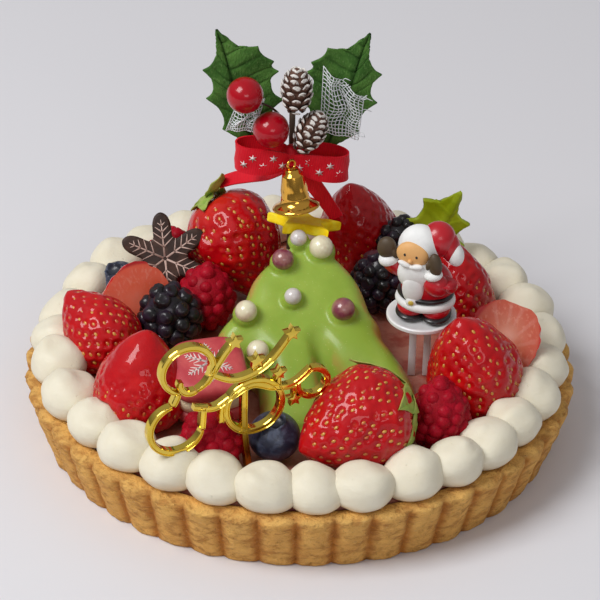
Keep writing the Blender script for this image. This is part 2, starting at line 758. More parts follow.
def add_seeds(bm, places, matrix, node, glaze, cut=None):
    """Set a flat seed in each dimple that is still on the skin."""
    solid = solid_of(node)
    low = min((matrix @ here).z for here, _, _ in places)
    matrices = []
    for here, out, along in places:
        seat = matrix @ here
        if seat.z < DECK + 1.2 or (cut and any((seat - point).dot(way) > -0.6 for point, way in cut)):
            continue
        if solid.find_nearest(seat)[3] > 0.9:
            continue
        out = matrix.to_3x3() @ out
        along = matrix.to_3x3() @ along
        side = out.cross(along).normalized()
        turn = Matrix((side, along, out)).transposed().to_4x4()
        sunk = 0.52 + 0.35 * glaze * smooth_step(seat.z, low + 10, low + 18)
        size = stretch(*SEED_HALF_SIZES)
        matrices.append(Matrix.Translation(seat - out * sunk) @ turn @ size)
    stamp(bm, bead_shape(2, 1), matrices)


def skin_finish(settings, name, dull=0.0):
    """Strawberry skin under a clear wet glaze."""
    finish = Finish(
        name, roughness=0.5, coat_weight=1.0, coat_roughness=0.03, coat_ior=1.36, specular_ior_level=0.12
    )
    pit = finish.attribute("pit")
    ripe = finish.attribute("ripe")
    blotch = finish.patches(7.0, 3.0)
    colour = finish.mix(blotch.step(0.42, 0.72) * 0.75, settings.strawberry, paint(202, 10, 10))
    colour = finish.mix(ripe.step(0.22, 0.02) * 0.3, colour, paint(226, 64, 40))
    colour = finish.mix(pit.step(0.45, 0.95) * 0.5, colour, paint(186, 52, 14))
    if dull:
        colour = finish.mix(dull, colour, paint(140, 0, 10))
    height = finish.patches(1.6, 2.0)
    return finish.feed(base_color=colour, normal=finish.bump(height, 0.22, 0.7))


def seed_finish(settings):
    finish = Finish("seeds", roughness=0.35, coat_weight=0.8, coat_roughness=0.1)
    colour = finish.mix(finish.patches(3.0, 1.0).step(0.45, 0.6), settings.seed, paint(196, 96, 40))
    return finish.feed(base_color=colour)


class TART_OT_strawberries(bpy.types.Operator):
    """Add the whole strawberries, with their seeds and sepals"""

    bl_idname = "tart.add_strawberries"
    bl_label = "Strawberries"

    def execute(self, context):
        settings = context.scene.tart_fruit
        seeds = seed_finish(settings)
        skin = skin_finish(settings, "strawberry_skin")
        dark_skin = skin_finish(settings, "dark_strawberry_skin", 0.35)
        for index, (name, (middle, tip, length, width, glaze)) in enumerate(STRAWBERRIES.items()):
            bm, places = strawberry_body(length, width, index * 3.7, glaze)
            matrix = pointing(tip, middle)
            bm.transform(matrix)
            press_into(bm, name)
            add_seeds(bm, places, matrix, name, glaze)
            coat = dark_skin if name in ("strawberry_rear_right", "strawberry_rear_dark") else skin
            make_piece("glossy_" + name, bm, [coat, seeds], "strawberry", name)
        green = self.sepal_finish(settings)
        self.calyx("strawberry_rear_left", "calyx_rear_left", 6, 10.5, 20.0, green)
        self.calyx("strawberry_front", "calyx_front", 8, 15.5, 10.0, green)
        return {"FINISHED"}

    def calyx(self, berry, node, leaves, reach, turn, finish):
        """Thin pointed sepals round a small button, drooping over the shoulder of a strawberry."""
        middle, tip, length, _, _ = STRAWBERRIES[berry]
        away = -Vector(tip).normalized()
        seat = Vector(middle) + away * (length * 0.47 + 1.4)
        place = pointing(away, seat, turn)
        bm = bmesh.new()
        rows, columns = 16, 8
        for leaf in range(leaves):
            part = bmesh.new()
            bmesh.ops.create_grid(part, x_segments=columns, y_segments=rows, size=1.0)
            long = reach * (1.0 + 0.25 * math.sin(leaf * 2.2))
            heading = TAU * leaf / leaves
            ripple = part.verts.layers.float.new("edge")
            way = place.to_3x3() @ Vector((math.cos(heading), math.sin(heading), 0))
            raised = way.z if node == "calyx_rear_left" else 0.0
            droop = 0.030 if node == "calyx_rear_left" else 0.040
            for vert in part.verts:
                across, share = vert.co.x, (vert.co.y + 1) / 2
                half = long * 0.30 * (math.sin(math.pi * min(share * 0.9 + 0.12, 1.0)) ** 0.8)
                x = long * share
                y = half * across
                distance = math.hypot(x, y)
                curl = 1.4 * noise.noise(Vector((x, y, leaf * 4.0)) * 0.3)
                fold = 0.35 * abs(across) * half * 0.5 - 0.25 * math.exp(-((across / 0.15) ** 2))
                bend = droop - 0.065 * smooth_step(raised, 0.1, 0.7)
                z = 0.3 - bend * distance * distance + curl * share + fold + 0.25 * (leaf % 2)
                vert[ripple] = max(abs(across), share)
                vert.co = Vector((x, y, z))
            part.transform(Matrix.Rotation(heading, 4, "Z"))
            bmesh.ops.recalc_face_normals(part, faces=part.faces)
            join(bm, applied(part, [("SOLIDIFY", {"thickness": 0.35, "offset": 0.0})]))
        button = Matrix.Translation((0, 0, 0.5)) @ stretch(1.6, 1.6, 0.8)
        ball(bm, button, 16, 10)
        bm.transform(place)
        make_piece("wilted_" + node, bm, [finish], "calyx", node)

    def sepal_finish(self, settings):
        finish = Finish("sepals", roughness=0.5, specular_ior_level=0.4)
        edge = finish.attribute("edge")
        colour = finish.mix(finish.patches(3.0).step(0.35, 0.7), settings.calyx, paint(176, 188, 96))
        colour = finish.mix(edge.step(0.85, 1.0) * 0.3, colour, paint(178, 150, 86))
        veins = finish.patches(0.8, 2.0, 0.5)
        return finish.feed(base_color=colour, normal=finish.bump(veins, 0.2, 0.6))


class TART_OT_slices(bpy.types.Operator):
    """Add the cut strawberry slices"""

    bl_idname = "tart.add_slices"
    bl_label = "Strawberry slices"

    def execute(self, context):
        settings = context.scene.tart_fruit
        seeds = seed_finish(settings)
        for index, (name, sizes) in enumerate(STRAWBERRY_SLICES.items()):
            middle, tip, length, width, look, thickness = sizes
            look = Vector(look).normalized()
            matrix = pointing(tip, middle)
            bm, places = strawberry_body(length, width, index * 5.1 + 40, 0.0)
            bm.transform(matrix)
            cuts = [(Vector(middle), look), (Vector(middle) - look * thickness, -look)]
            for point, way in cuts:
                geometry = bm.verts[:] + bm.edges[:] + bm.faces[:]
                cut = bmesh.ops.bisect_plane(
                    bm, geom=geometry, plane_co=point, plane_no=way, clear_outer=True, dist=0.0001
                )
                edges = [item for item in cut["geom_cut"] if isinstance(item, bmesh.types.BMEdge)]
                for face in bmesh.ops.holes_fill(bm, edges=edges, sides=0)["faces"]:
                    face.material_index = 2
            press_into(bm, name)
            add_seeds(bm, places, matrix, name, 0.0, cuts)
            skin = skin_finish(settings, name + "_skin")
            flesh = self.flesh(settings, name, matrix, length, width, 0.2 if "left" in name else 1.0)
            make_piece("juicy_" + name, bm, [skin, seeds, flesh], "flesh", name, sharp=40)
        return {"FINISHED"}

    def flesh(self, settings, name, matrix, length, width, pale):
        """Orange-red flesh with pale veins that fan out from the core to a thin red rim."""
        finish = Finish(name + "_flesh", roughness=0.28, coat_weight=0.6, coat_roughness=0.1)
        finish.shader.inputs["Subsurface Weight"].default_value = 0.2
        finish.shader.inputs["Subsurface Scale"].default_value = 0.003
        local = finish.turned_place(matrix)
        x, y, z = finish.parts(local)
        side = ((x * x + y * y).math("SQRT")) * (2 / width)
        along = z * (2 / length)
        out = (side * side + (along + 0.15) * (along + 0.15)).math("SQRT")
        angle = along.math("ARCTAN2", side)
        wobble = finish.patches(2.5, 2.0) * 1.6
        veins = ((angle * 13.0 + wobble).sine() * 0.5 + 0.5).step(0.72, 0.98)
        band = out.step(0.25, 0.5) * out.step(0.95, 0.8)
        core = out.step(0.42, 0.1)
        rosy = (paint(206, 126, 100), paint(196, 86, 60))
        if pale < 0.5:
            rosy = (paint(232, 104, 74), settings.flesh)
        colour = finish.mix(out.step(0.2, 0.85), *rosy)
        colour = finish.mix(core * 0.5 * pale, colour, paint(238, 186, 168))
        fibres = finish.patches(1.2, 3.0, 0.6, finish.stretched((1.0, 1.0, 0.4)))
        colour = finish.mix(fibres.step(0.5, 0.7) * 0.25 * band, colour, paint(236, 176, 150))
        colour = finish.mix(veins * band * 0.10 * pale, colour, paint(240, 204, 190))
        colour = finish.mix(out.step(0.90, 1.0), colour, settings.strawberry)
        height = veins * band * 0.15 + finish.patches(0.8) * 0.4
        return finish.feed(base_color=colour, normal=finish.bump(height, 0.2, 0.6))


def berry_share(share):
    """The width of a raspberry or bramble from its open end (0) to its top (1)."""
    return max(math.sin(math.pi * share ** 0.9), 0.0) ** 0.55


class TART_OT_cluster_berries(bpy.types.Operator):
    """Add the raspberries and brambles, drupelet by drupelet"""

    bl_idname = "tart.add_cluster_berries"
    bl_label = "Raspberries and brambles"

    def execute(self, context):
        settings = context.scene.tart_fruit
        red = self.raspberry_finish(settings)
        dark = self.bramble_finish(settings)
        for index, (name, (middle, top, height, width)) in enumerate(CLUSTER_BERRIES.items()):
            bramble = "dark" in name
            draw = random.Random(index + 11)
            bm = bmesh.new()
            matrix = pointing(top, middle)
            core_width = width * (0.40 if bramble else 0.455)
            core = stretch(core_width, core_width, height * 0.45)
            ball(bm, matrix @ core, 24, 16)
            size = width * (0.132 if bramble else 0.134)
            matrices = []
            rows = round(height / (size * (1.42 if bramble else 1.25)))
            for row in range(rows):
                share = (row + 0.5) / rows
                radius = width / 2 * berry_share(share) - size * (0.86 if bramble else 0.95)
                count = max(int(TAU * radius / (size * (1.72 if bramble else 1.5))), 1)
                for step in range(count):
                    angle = TAU * (step + 0.5 * (row % 2)) / count + draw.uniform(-0.05, 0.05)
                    level = height * (share - 0.5) * 0.94 + draw.uniform(-0.3, 0.3)
                    spot = Vector((radius * math.cos(angle), radius * math.sin(angle), level))
                    out = Vector((spot.x, spot.y, level * 0.8)).normalized()
                    scale = size * draw.uniform(0.94, 1.12)
                    shape = stretch(scale, scale * 0.96, scale * 1.12)
                    matrices.append(matrix @ pointing(out, spot) @ shape)
            stamp(bm, bead_shape(3 if bramble else 2), matrices)
            press_into(bm, name, 1.5)
            keep(bm, "odd", lambda vert: noise.noise(vert.co * 0.11 + Vector((index, 0, 0))))
            finish, slot = (dark, "dark_berry") if bramble else (red, "raspberry")
            make_piece("ripe_" + name, bm, [finish], slot, name)
        return {"FINISHED"}

    def raspberry_finish(self, settings):
        finish = Finish(
            "raspberry", roughness=0.6, coat_weight=0.25, coat_roughness=0.3, coat_ior=1.3,
            specular_ior_level=0.12,
        )
        finish.shader.inputs["Subsurface Weight"].default_value = 0.15
        finish.shader.inputs["Subsurface Scale"].default_value = 0.002
        colour = finish.mix(finish.patches(5.0).step(0.35, 0.7), settings.raspberry, paint(176, 8, 36))
        hairs = finish.patches(0.5, 2.0)
        colour = finish.mix(hairs.step(0.60, 0.74) * 0.3, colour, paint(206, 40, 66))
        return finish.feed(base_color=colour, normal=finish.bump(hairs, 0.3, 0.9))

    def bramble_finish(self, settings):
        finish = Finish(
            "bramble", roughness=0.4, coat_weight=0.7, coat_roughness=0.16, coat_ior=1.4,
            specular_ior_level=0.2,
        )
        tint = finish.attribute("odd")
        colour = finish.mix(finish.patches(5.0).step(0.4, 0.7), settings.dark_berry, paint(44, 30, 48))
        colour = finish.mix(tint.step(0.38, 0.5) * 0.6, colour, paint(96, 12, 30))
        return finish.feed(base_color=colour, normal=finish.bump(finish.patches(0.8), 0.1, 0.5))


class TART_OT_blueberries(bpy.types.Operator):
    """Add the blueberries with their crowns and bloom"""

    bl_idname = "tart.add_blueberries"
    bl_label = "Blueberries"

    def execute(self, context):
        settings = context.scene.tart_fruit
        finish = Finish("blueberry", roughness=0.4, coat_weight=0.3, coat_roughness=0.25)
        bloom = finish.patches(3.5, 4.0, 0.6, None, 0.4)
        colour = finish.mix(bloom.step(0.40, 0.68) * 0.8, settings.blueberry, paint(86, 96, 120))
        colour = finish.mix(finish.attribute("crown") * 0.8, colour, paint(20, 18, 24))
        finish.feed(base_color=colour, normal=finish.bump(finish.patches(0.6), 0.12, 0.6))
        for name, (middle, crown, diameter) in BLUEBERRIES.items():
            radius = diameter / 2
            profile = [(0.0, -radius * 0.93)]
            for step in range(1, 25):
                angle = math.pi * step / 32
                profile.append((radius * math.sin(angle), -radius * 0.93 * math.cos(angle)))
            rim = radius * 0.42
            profile += [(rim * 1.22, radius * 0.80), (rim * 1.06, radius * 0.88), (rim * 1.0, radius * 0.98)]
            profile += [(rim * 0.90, radius * 0.97), (rim * 0.80, radius * 0.82), (rim * 0.6, radius * 0.72)]
            profile += [(rim * 0.2, radius * 0.72), (0.0, radius * 0.70)]
            bm = turned(profile, 60)
            layer = bm.verts.layers.float.new("crown")
            for vert in bm.verts:
                distance = math.hypot(vert.co.x, vert.co.y)
                if vert.co.z > radius * 0.6 and distance < rim * 1.3:
                    angle = math.atan2(vert.co.y, vert.co.x)
                    point = abs(math.sin(angle * 2.5 + 0.4))
                    raised = smooth_step(vert.co.z, radius * 0.84, radius * 0.96) * (distance > rim * 0.5)
                    vert[layer] = smooth_step(distance, rim * 0.95, rim * 0.7)
                    vert.co.x *= 1 + 0.12 * raised * (point - 0.4)
                    vert.co.y *= 1 + 0.12 * raised * (point - 0.4)
                    vert.co.z -= raised * 1.1 * (1 - point)
            bm.transform(pointing(crown, middle))
            stand_on_deck(bm)
            press_into(bm, name)
            make_piece("bloomed_" + name, bm, [finish], "blueberry", name)
        return {"FINISHED"}


class ToppingSettings(bpy.types.PropertyGroup):
    mousse: colour_setting("Mousse", "Colour of the tree's green glaze", 140, 168, 58)
    pearl_white: colour_setting("White pearl", "Colour of the cream-white pearls", 236, 230, 196)
    pearl_purple: colour_setting("Purple pearl", "Colour of the purple pearls", 128, 56, 74)
    pearl_silver: colour_setting("Silver pearl", "Colour of the silver pearls", 214, 208, 204)
    star: colour_setting("Star", "Colour of the yellow chocolate star", 254, 218, 24)
    chocolate: colour_setting("Chocolate", "Colour of the dark chocolate", 50, 34, 28)
    snow_print: colour_setting("Snow print", "Colour of the feathered print", 214, 190, 180)
    macaron: colour_setting("Macaron", "Colour of the macaron shells", 186, 56, 66)
    macaron_cream: colour_setting("Macaron cream", "Colour between the shells", 226, 208, 168)
    leaf: colour_setting("Chocolate leaf", "Colour of the green chocolate leaf", 148, 164, 16)


def tree_face(y):
    """The height of the tree's sloping face, which swells a little at the foot of the trunk."""
    return TREE_FRONT_Z + TREE_SLOPE * (y - TREE_FRONT_Y) + 3.5 * math.exp(-(((y + 46) / 9) ** 2))


def rounded(outline, rounds):
    for _ in range(rounds):
        cut = []
        for start, end in zip(outline, outline[1:] + outline[:1]):
            for share in (0.25, 0.75):
                cut.append(tuple(a + (b - a) * share for a, b in zip(start, end)))
        outline = cut
    return outline


class TART_OT_tree(bpy.types.Operator):
    """Add the green mousse tree and the pearls set in it"""

    bl_idname = "tart.add_tree"
    bl_label = "Mousse tree"

    def execute(self, context):
        settings = context.scene.tart_toppings
        bm = bmesh.new()
        face = bm.faces.new([bm.verts.new((x, y, DECK)) for x, y in rounded(list(TREE_OUTLINE), 2)])
        grown = bmesh.ops.extrude_face_region(bm, geom=[face])
        for item in grown["geom"]:
            if isinstance(item, bmesh.types.BMVert):
                item.co.z = tree_face(item.co.y)
        bmesh.ops.recalc_face_normals(bm, faces=bm.faces)
        bmesh.ops.triangulate(bm, faces=bm.faces)
        bm = applied(bm, [("REMESH", {"mode": "VOXEL", "voxel_size": 0.8})])
        self.shoulders(bm)
        bm = applied(bm, [("SMOOTH", {"factor": 0.6, "iterations": 14})])
        slope = Vector((0, -TREE_SLOPE, 1)).normalized()
        for middle, diameter, _ in PEARLS:
            collar = diameter / 2 + 0.9
            low = Vector(middle) - slope * (collar * 0.62)
            shape = stretch(collar, collar, collar * 0.85)
            ball(bm, pointing(slope, low) @ shape, 24, 16)
        remesh = ("REMESH", {"mode": "VOXEL", "voxel_size": 0.62})
        bm = applied(bm, [remesh, ("SMOOTH", {"factor": 0.5, "iterations": 5})])
        for vert in bm.verts:
            if vert.co.z < DECK + 2.5:
                vert.co.z = max(vert.co.z - 1.0, DECK)
        bm.normal_update()
        keep(bm, "edge", lambda vert: self.bend(vert, slope))
        make_piece("glazed_tree", bm, [self.glaze(settings)], "mousse", "tree")
        for kind in ("white", "purple", "silver"):
            self.pearls(settings, kind)
        return {"FINISHED"}

    def bend(self, vert, slope):
        """1 where the glaze bends down from the sloping face, and 0 on the face and close to the pearls."""
        return smooth_step(vert.normal.dot(slope), 0.93, 0.60) * self.clear_of_pearls(vert.co)

    def clear_of_pearls(self, place):
        """0 on the collars of the pearls and 1 away from them."""
        nearest = min((place - Vector(middle)).length / diameter for middle, diameter, _ in PEARLS)
        return smooth_step(nearest, 0.9, 1.2)

    def shoulders(self, bm):
        """Round the face down to the wall all round the outline."""
        outline = [Vector((x, y, 0)) for x, y in rounded(list(TREE_OUTLINE), 3)]
        finder = KDTree(len(outline))
        for index, point in enumerate(outline):
            finder.insert(point, index)
        finder.balance()
        for vert in bm.verts:
            reach = 7.0 + 4.0 * smooth_step(vert.co.y, 8.0, -6.0)
            near = finder.find(Vector((vert.co.x, vert.co.y, 0)))[2]
            inward = 1 - min(near / reach, 1.0)
            drop = reach * 0.85 * (1 - math.sqrt(max(1 - inward * inward, 0.0)))
            swell = 0.9 * noise.noise(vert.co * 0.07)
            start, end = GROOVE
            share = (vert.co.xy - start).dot(end - start) / (end - start).length_squared
            share = min(max(share, 0.0), 1.0)
            aside = (vert.co.xy - start.lerp(end, share)).length
            drop += 10.0 * (1 - share) ** 0.7 * math.exp(-((aside / 2.8) ** 2))
            vert.co.z = max(min(vert.co.z, tree_face(vert.co.y) - drop + swell * (1 - inward)), DECK)

    def glaze(self, settings):
        finish = Finish(
            "green_glaze", roughness=0.4, coat_weight=0.35, coat_roughness=0.2, specular_ior_level=0.2,
        )
        finish.shader.inputs["Subsurface Weight"].default_value = 0.15
        finish.shader.inputs["Subsurface Scale"].default_value = 0.003
        edge = finish.attribute("edge")
        cloud = finish.patches(14.0, 3.0)
        colour = finish.mix(cloud.step(0.35, 0.7) * 0.6, settings.mousse, paint(164, 188, 80))
        thin = edge * (finish.patches(7.0, 3.0).step(0.38, 0.60))
        colour = finish.mix(thin * 0.75, colour, paint(190, 138, 76))
        specks = finish.cells(1.3).step(0.14, 0.03)
        colour = finish.mix(specks * 0.6, colour, paint(214, 220, 150))
        height = cloud * 1.0 + specks * 0.10 + finish.patches(2.4, 4.0) * 0.12
        return finish.feed(base_color=colour, normal=finish.bump(height, 0.5, 0.35))

    def pearls(self, settings, kind):
        bm = bmesh.new()
        for middle, diameter, colour in PEARLS:
            if colour == kind:
                size = diameter / 2
                ball(bm, Matrix.Translation(middle) @ stretch(size, size, size), 40, 24)
        finish = Finish("pearl_" + kind, roughness=0.3, coat_weight=0.8, coat_roughness=0.15)
        colour = getattr(settings, "pearl_" + kind)
        blush = finish.mix(finish.patches(4.0, 3.0).step(0.4, 0.65) * 0.4, colour, paint(196, 150, 130))
        finish.feed(base_color=blush, normal=finish.bump(finish.patches(1.2), 0.08, 0.5))
        make_piece("pearls_" + kind, bm, [finish], "mousse", "tree")


STAR_MIDDLE = (0.3, 25.0, 57.8)
SNOWFLAKE_MIDDLE = (-45.4, 28.1, 41.2)
CHOCOLATE_THICKNESS = 3.4
PRINT_LIFT = 0.02


class TART_OT_chocolates(bpy.types.Operator):
    """Add the star, the dark snowflake and the green leaf, all of chocolate"""

    bl_idname = "tart.add_chocolates"
    bl_label = "Star, snowflake and leaf"

    def execute(self, context):
        settings = context.scene.tart_toppings
        self.star(settings)
        self.snowflake(settings)
        self.leaf(settings)
        return {"FINISHED"}

    def star(self, settings):
        bm = slab(star_outline(5, 12.8, 5.9), CHOCOLATE_THICKNESS, 0.7, 4)
        bmesh.ops.triangulate(bm, faces=bm.faces)
        bmesh.ops.subdivide_edges(bm, edges=bm.edges, cuts=3, use_grid_fill=True)
        for vert in bm.verts:
            vert.co.z += 0.25 * noise.noise(vert.co * 0.25)
            vert.co.xy += Vector((noise.noise(vert.co * 0.3), noise.noise(vert.co * 0.3 + UP * 9))) * 0.25
        bm.transform(Matrix.Translation(STAR_MIDDLE) @ rotation(7, "Y") @ rotation(-17, "X"))
        finish = Finish("yellow_chocolate", roughness=0.6, specular_ior_level=0.1)
        blotch = finish.patches(3.0, 4.0)
        colour = finish.mix(blotch.step(0.4, 0.7), settings.star, paint(255, 232, 60))
        colour = finish.mix(blotch.step(0.4, 0.28) * 0.5, colour, paint(226, 176, 24))
        finish.feed(base_color=colour, normal=finish.bump(finish.patches(1.0), 0.25, 0.7))
        make_piece("chocolate_star", bm, [finish], "yellow", "star", sharp=50)

    def snowflake(self, settings):
        outline = []
        for step in range(144):
            angle = TAU * step / 144
            radius = 7.6 + 7.4 * smooth_step(math.cos(6 * angle), -1.0, 0.85)
            radius += 0.45 * math.cos(18 * angle) * smooth_step(radius, 9.0, 14.0)
            outline.append((radius * math.sin(-angle), radius * math.cos(angle)))
        place = Matrix.Translation(SNOWFLAKE_MIDDLE) @ rotation(56, "X") @ rotation(8, "Z")
        bm = slab(outline, CHOCOLATE_THICKNESS, 0.8, 4)
        bm.transform(place)
        finish = Finish("dark_chocolate", roughness=0.5, specular_ior_level=0.25)
        colour = finish.mix(finish.patches(4.0).step(0.4, 0.7), settings.chocolate, paint(72, 48, 38))
        finish.feed(base_color=colour, normal=finish.bump(finish.patches(1.2), 0.2, 0.6))
        make_piece("chocolate_snowflake", bm, [finish], "chocolate", "snowflake_chocolate", sharp=50)
        bm = bmesh.new()
        snow_print(bm, 13.0, 0.7)
        bm.transform(place @ Matrix.Translation((0, 0, CHOCOLATE_THICKNESS / 2 + PRINT_LIFT)))
        finish = Finish("snow_print", roughness=0.6)
        finish.feed(base_color=finish.mix(finish.patches(1.0), settings.snow_print, paint(176, 136, 120)))
        make_piece("snowflake_print", bm, [finish], "chocolate", "snowflake_chocolate")

    def leaf(self, settings):
        edges = (
            ((40.3, 33.5), (42.7, 33.5)), ((36.6, 41.0), (55.0, 37.6)), ((33.8, 48.4), (51.4, 42.4)),
            ((38.4, 49.9), (56.2, 46.7)), ((39.2, 56.2), (51.4, 50.8)), ((44.2, 54.9), (51.7, 55.2)),
            ((51.9, 59.8), (52.1, 59.9)),
        )
        bm = applied(leaf_body(edges, 2.0, 0.8, 0.8), [("SMOOTH", {"factor": 0.5, "iterations": 5})])
        bmesh.ops.translate(bm, vec=(0, 46.0, 0), verts=bm.verts)
        finish = Finish(
            "leaf_chocolate", roughness=0.4, coat_weight=0.4, coat_roughness=0.15, coat_ior=1.3,
            specular_ior_level=0.15,
        )
        vein = finish.attribute("vein")
        colour = finish.mix(finish.patches(8.0).step(0.35, 0.7), settings.leaf, paint(172, 188, 40))
        colour = finish.mix(vein * 0.35, colour, paint(120, 138, 30))
        finish.feed(base_color=colour, normal=finish.bump(finish.patches(2.0), 0.15, 0.5))
        make_piece("chocolate_leaf", bm, [finish], "leaf_chocolate", "leaf_chocolate")


def snow_print(bm, reach, width):
    """Six feathered arms, as thin raised strokes in XY."""
    for arm in range(6):
        turn = Matrix.Rotation(TAU * arm / 6, 4, "Z")
        strokes = [((0, 0.6), (0, reach))]
        for level, side_reach in ((0.30, 0.26), (0.50, 0.24), (0.68, 0.17), (0.84, 0.10)):
            for side in (-1, 1):
                start = (0, reach * level)
                strokes.append((start, (side * reach * side_reach, reach * (level + side_reach * 0.85))))
        for start, end in strokes:
            route = [turn @ Vector((*start, 0.0)), turn @ Vector((*end, 0.0))]
            across = UP.cross(route[1] - route[0])
            broad = width * (1.0 if start[1] == 0.6 else 0.75)
            bar(bm, route, tapered_section(broad, broad * 0.28, 0.12), [across, across])


def between(pairs):
    """A straight spine from the middle of the first pair of edge points to the last."""
    first = (Vector(pairs[0][0]) + Vector(pairs[0][1])) / 2
    last = (Vector(pairs[-1][0]) + Vector(pairs[-1][1])) / 2
    return first, last


def leaf_body(pairs, thickness, wave, relief, rows_each=10, columns=28):
    """A thin wavy leaf in XZ with a raised midrib and side veins, through (left, right) edge points."""
    first, last = between(pairs)
    gaps = len(pairs) - 1
    bm = bmesh.new()
    bmesh.ops.create_grid(bm, x_segments=columns, y_segments=gaps * rows_each, size=1.0)
    vein = bm.verts.layers.float.new("vein")
    for vert in bm.verts:
        across, level = vert.co.x, (vert.co.y + 1) / 2 * gaps
        index = min(int(level), gaps - 1)
        share = level - index
        side = 0 if across < 0 else 1
        start, end = Vector(pairs[index][side]), Vector(pairs[index + 1][side])
        edge = start.lerp(end, share)
        spine = first.lerp(last, level / gaps)
        hollow = 0.10 * math.sin(math.pi * share) * (edge - spine).length
        edge -= (edge - spine).normalized() * min(hollow, 1.6)
        point = spine.lerp(edge, abs(across))
        rib = math.exp(-((abs(across) * (edge - spine).length / 0.8) ** 2))
        branch = abs((level * 1.0 - abs(across) * 0.55) % 1.0 - 0.5) * 2
        side_vein = math.exp(-(((1 - branch) / 0.16) ** 2)) * (1 - abs(across)) ** 0.3
        vert[vein] = min(rib + 0.7 * side_vein, 1.0)
        depth = wave * math.sin(point.x * 0.33) * math.cos(point.y * 0.24)
        vert.co = (point.x, depth - relief * min(rib + 0.6 * side_vein, 1.0), point.y)
    bmesh.ops.remove_doubles(bm, verts=bm.verts, dist=0.01)
    bmesh.ops.dissolve_degenerate(bm, edges=bm.edges, dist=0.01)
    bmesh.ops.recalc_face_normals(bm, faces=bm.faces)
    return applied(bm, [("SOLIDIFY", {"thickness": thickness, "offset": 0.0, "use_even_offset": False})])


MACARON_MIDDLE = (-28.8, -31.6, 33.4)
MACARON_HALF_WIDTH = 12.0


class TART_OT_macaron(bpy.types.Operator):
    """Add the square macaron"""

    bl_idname = "tart.add_macaron"
    bl_label = "Macaron"

    def execute(self, context):
        settings = context.scene.tart_toppings
        place = Matrix.Translation(MACARON_MIDDLE) @ rotation(15, "X") @ rotation(12, "Z")
        shell = Finish("macaron_shell", roughness=0.5, coat_weight=0.15, coat_roughness=0.4)
        specks = shell.cells(0.9).step(0.16, 0.06)
        colour = shell.mix(shell.patches(6.0).step(0.35, 0.7), settings.macaron, paint(204, 82, 82))
        colour = shell.mix(specks * 0.35, colour, paint(236, 150, 140))
        shell.feed(base_color=colour, normal=shell.bump(specks * 0.3 + shell.patches(1.0) * 0.5, 0.12, 0.6))
        inner, outer = 2.8, 9.0
        profile = ((0.90, inner), (0.97, inner + 0.7), (1.0, inner + 2.4), (0.985, inner + 3.8))
        profile += ((0.94, outer - 1.3), (0.85, outer - 0.5), (0.70, outer - 0.1), (0.4, outer), (0.1, outer))
        for side, name in ((1, "macaron_upper_shell"), (-1, "macaron_lower_shell")):
            bm = self.rounded_square(profile, side)
            bm.transform(place)
            make_piece("baked_" + name, bm, [shell], "macaron", name)
        filling = Finish("macaron_cream", roughness=0.5)
        colour = filling.mix(filling.patches(2.0), settings.macaron_cream, paint(236, 222, 190))
        filling.feed(base_color=colour, normal=filling.bump(filling.patches(1.0), 0.3, 0.7))
        levels = (
            (0.2, -2.5), (0.88, -2.5), (0.935, -1.8), (0.95, 0.0), (0.935, 1.8), (0.88, 2.5), (0.2, 2.5),
        )
        bm = self.rounded_square(levels, 1)
        bm.transform(place)
        make_piece("macaron_middle", bm, [filling], "macaron_cream", "macaron_cream")
        bm = bmesh.new()
        snow_print(bm, 8.2, 0.9)
        bm.transform(place @ Matrix.Translation((0, 0, outer + PRINT_LIFT)))
        sugar = Finish("macaron_print", roughness=0.6)
        sugar.feed(base_color=sugar.mix(sugar.patches(1.0), paint(244, 226, 220), paint(232, 200, 196)))
        make_piece("macaron_snow_print", bm, [sugar], "macaron", "macaron_upper_shell")
        return {"FINISHED"}

    def rounded_square(self, profile, side):
        """A squarish body of (share of the half width, level) rings."""
        bm = turned([(0.0, profile[0][1]), *profile, (0.0, profile[-1][1])], 96)
        for vert in bm.verts:
            angle = math.atan2(vert.co.y, vert.co.x)
            reach = MACARON_HALF_WIDTH * (abs(math.cos(angle)) ** 4 + abs(math.sin(angle)) ** 4) ** -0.25
            vert.co = (vert.co.x * reach, vert.co.y * reach, vert.co.z * side)
        return bm


# Sign: strokes in its own plane as (along, up), with its front towards -Y
SIGN_PLACE = (-17.0, -62.5, 0.0)
SIGN_TURN = 23
SIGN_STARS = ((-3.4, 70.0, 2.9), (4.0, 61.6, 2.9), (15.4, 69.0, 2.9), (11.4, 55.4, 2.7), (16.6, 44.6, 2.7))
SIGN_ROUTES = (
    ((-23.4, 51.4), (-22.4, 53.4), (-21.6, 55.4)),
    ((-12.4, 57.0), (-7.0, 66.0), (-3.4, 70.2)),
    ((-11.0, 60.0), (-4.0, 56.4), (3.0, 57.2), (9.0, 61.0), (15.2, 69.0)),
    ((-16.6, 49.0), (-10.0, 47.4), (-4.5, 50.0), (2.5, 53.0), (9.5, 50.5), (16.0, 50.0), (22.0, 54.5)),
    ((-13.4, 48.4), (-13.8, 40.6)), ((-6.6, 49.0), (-7.6, 41.5)),
    ((0.0, 52.6), (0.0, 44.0), (0.4, 34.0), (1.9, DECK)),
)
SIGN_STEMS = (((3.6, 63.0), (3.2, 56.6)), ((11.4, 56.0), (11.4, 50.0)), ((16.6, 45.6), (16.4, 50.4)))


def arc(middle, radius, start, end, steps):
    points = []
    for step in range(steps + 1):
        angle = math.radians(start + (end - start) * step / steps)
        points.append((middle[0] + radius * math.cos(angle), middle[1] + radius * math.sin(angle)))
    return points


class MetalSettings(bpy.types.PropertyGroup):
    gold: colour_setting("Gold", "Colour of the sign and the bell", 236, 208, 92)
    sign_depth: length_setting("Sign depth", "Thickness of the sign", 2.6)
    sign_stroke: length_setting("Sign stroke", "Usual width of the sign's strokes", 2.2)
    bell_radius: length_setting("Bell radius", "Radius of the bell's lip", 7.7)
    bell_height: length_setting("Bell height", "Height of the bell without its ring", 13.5)


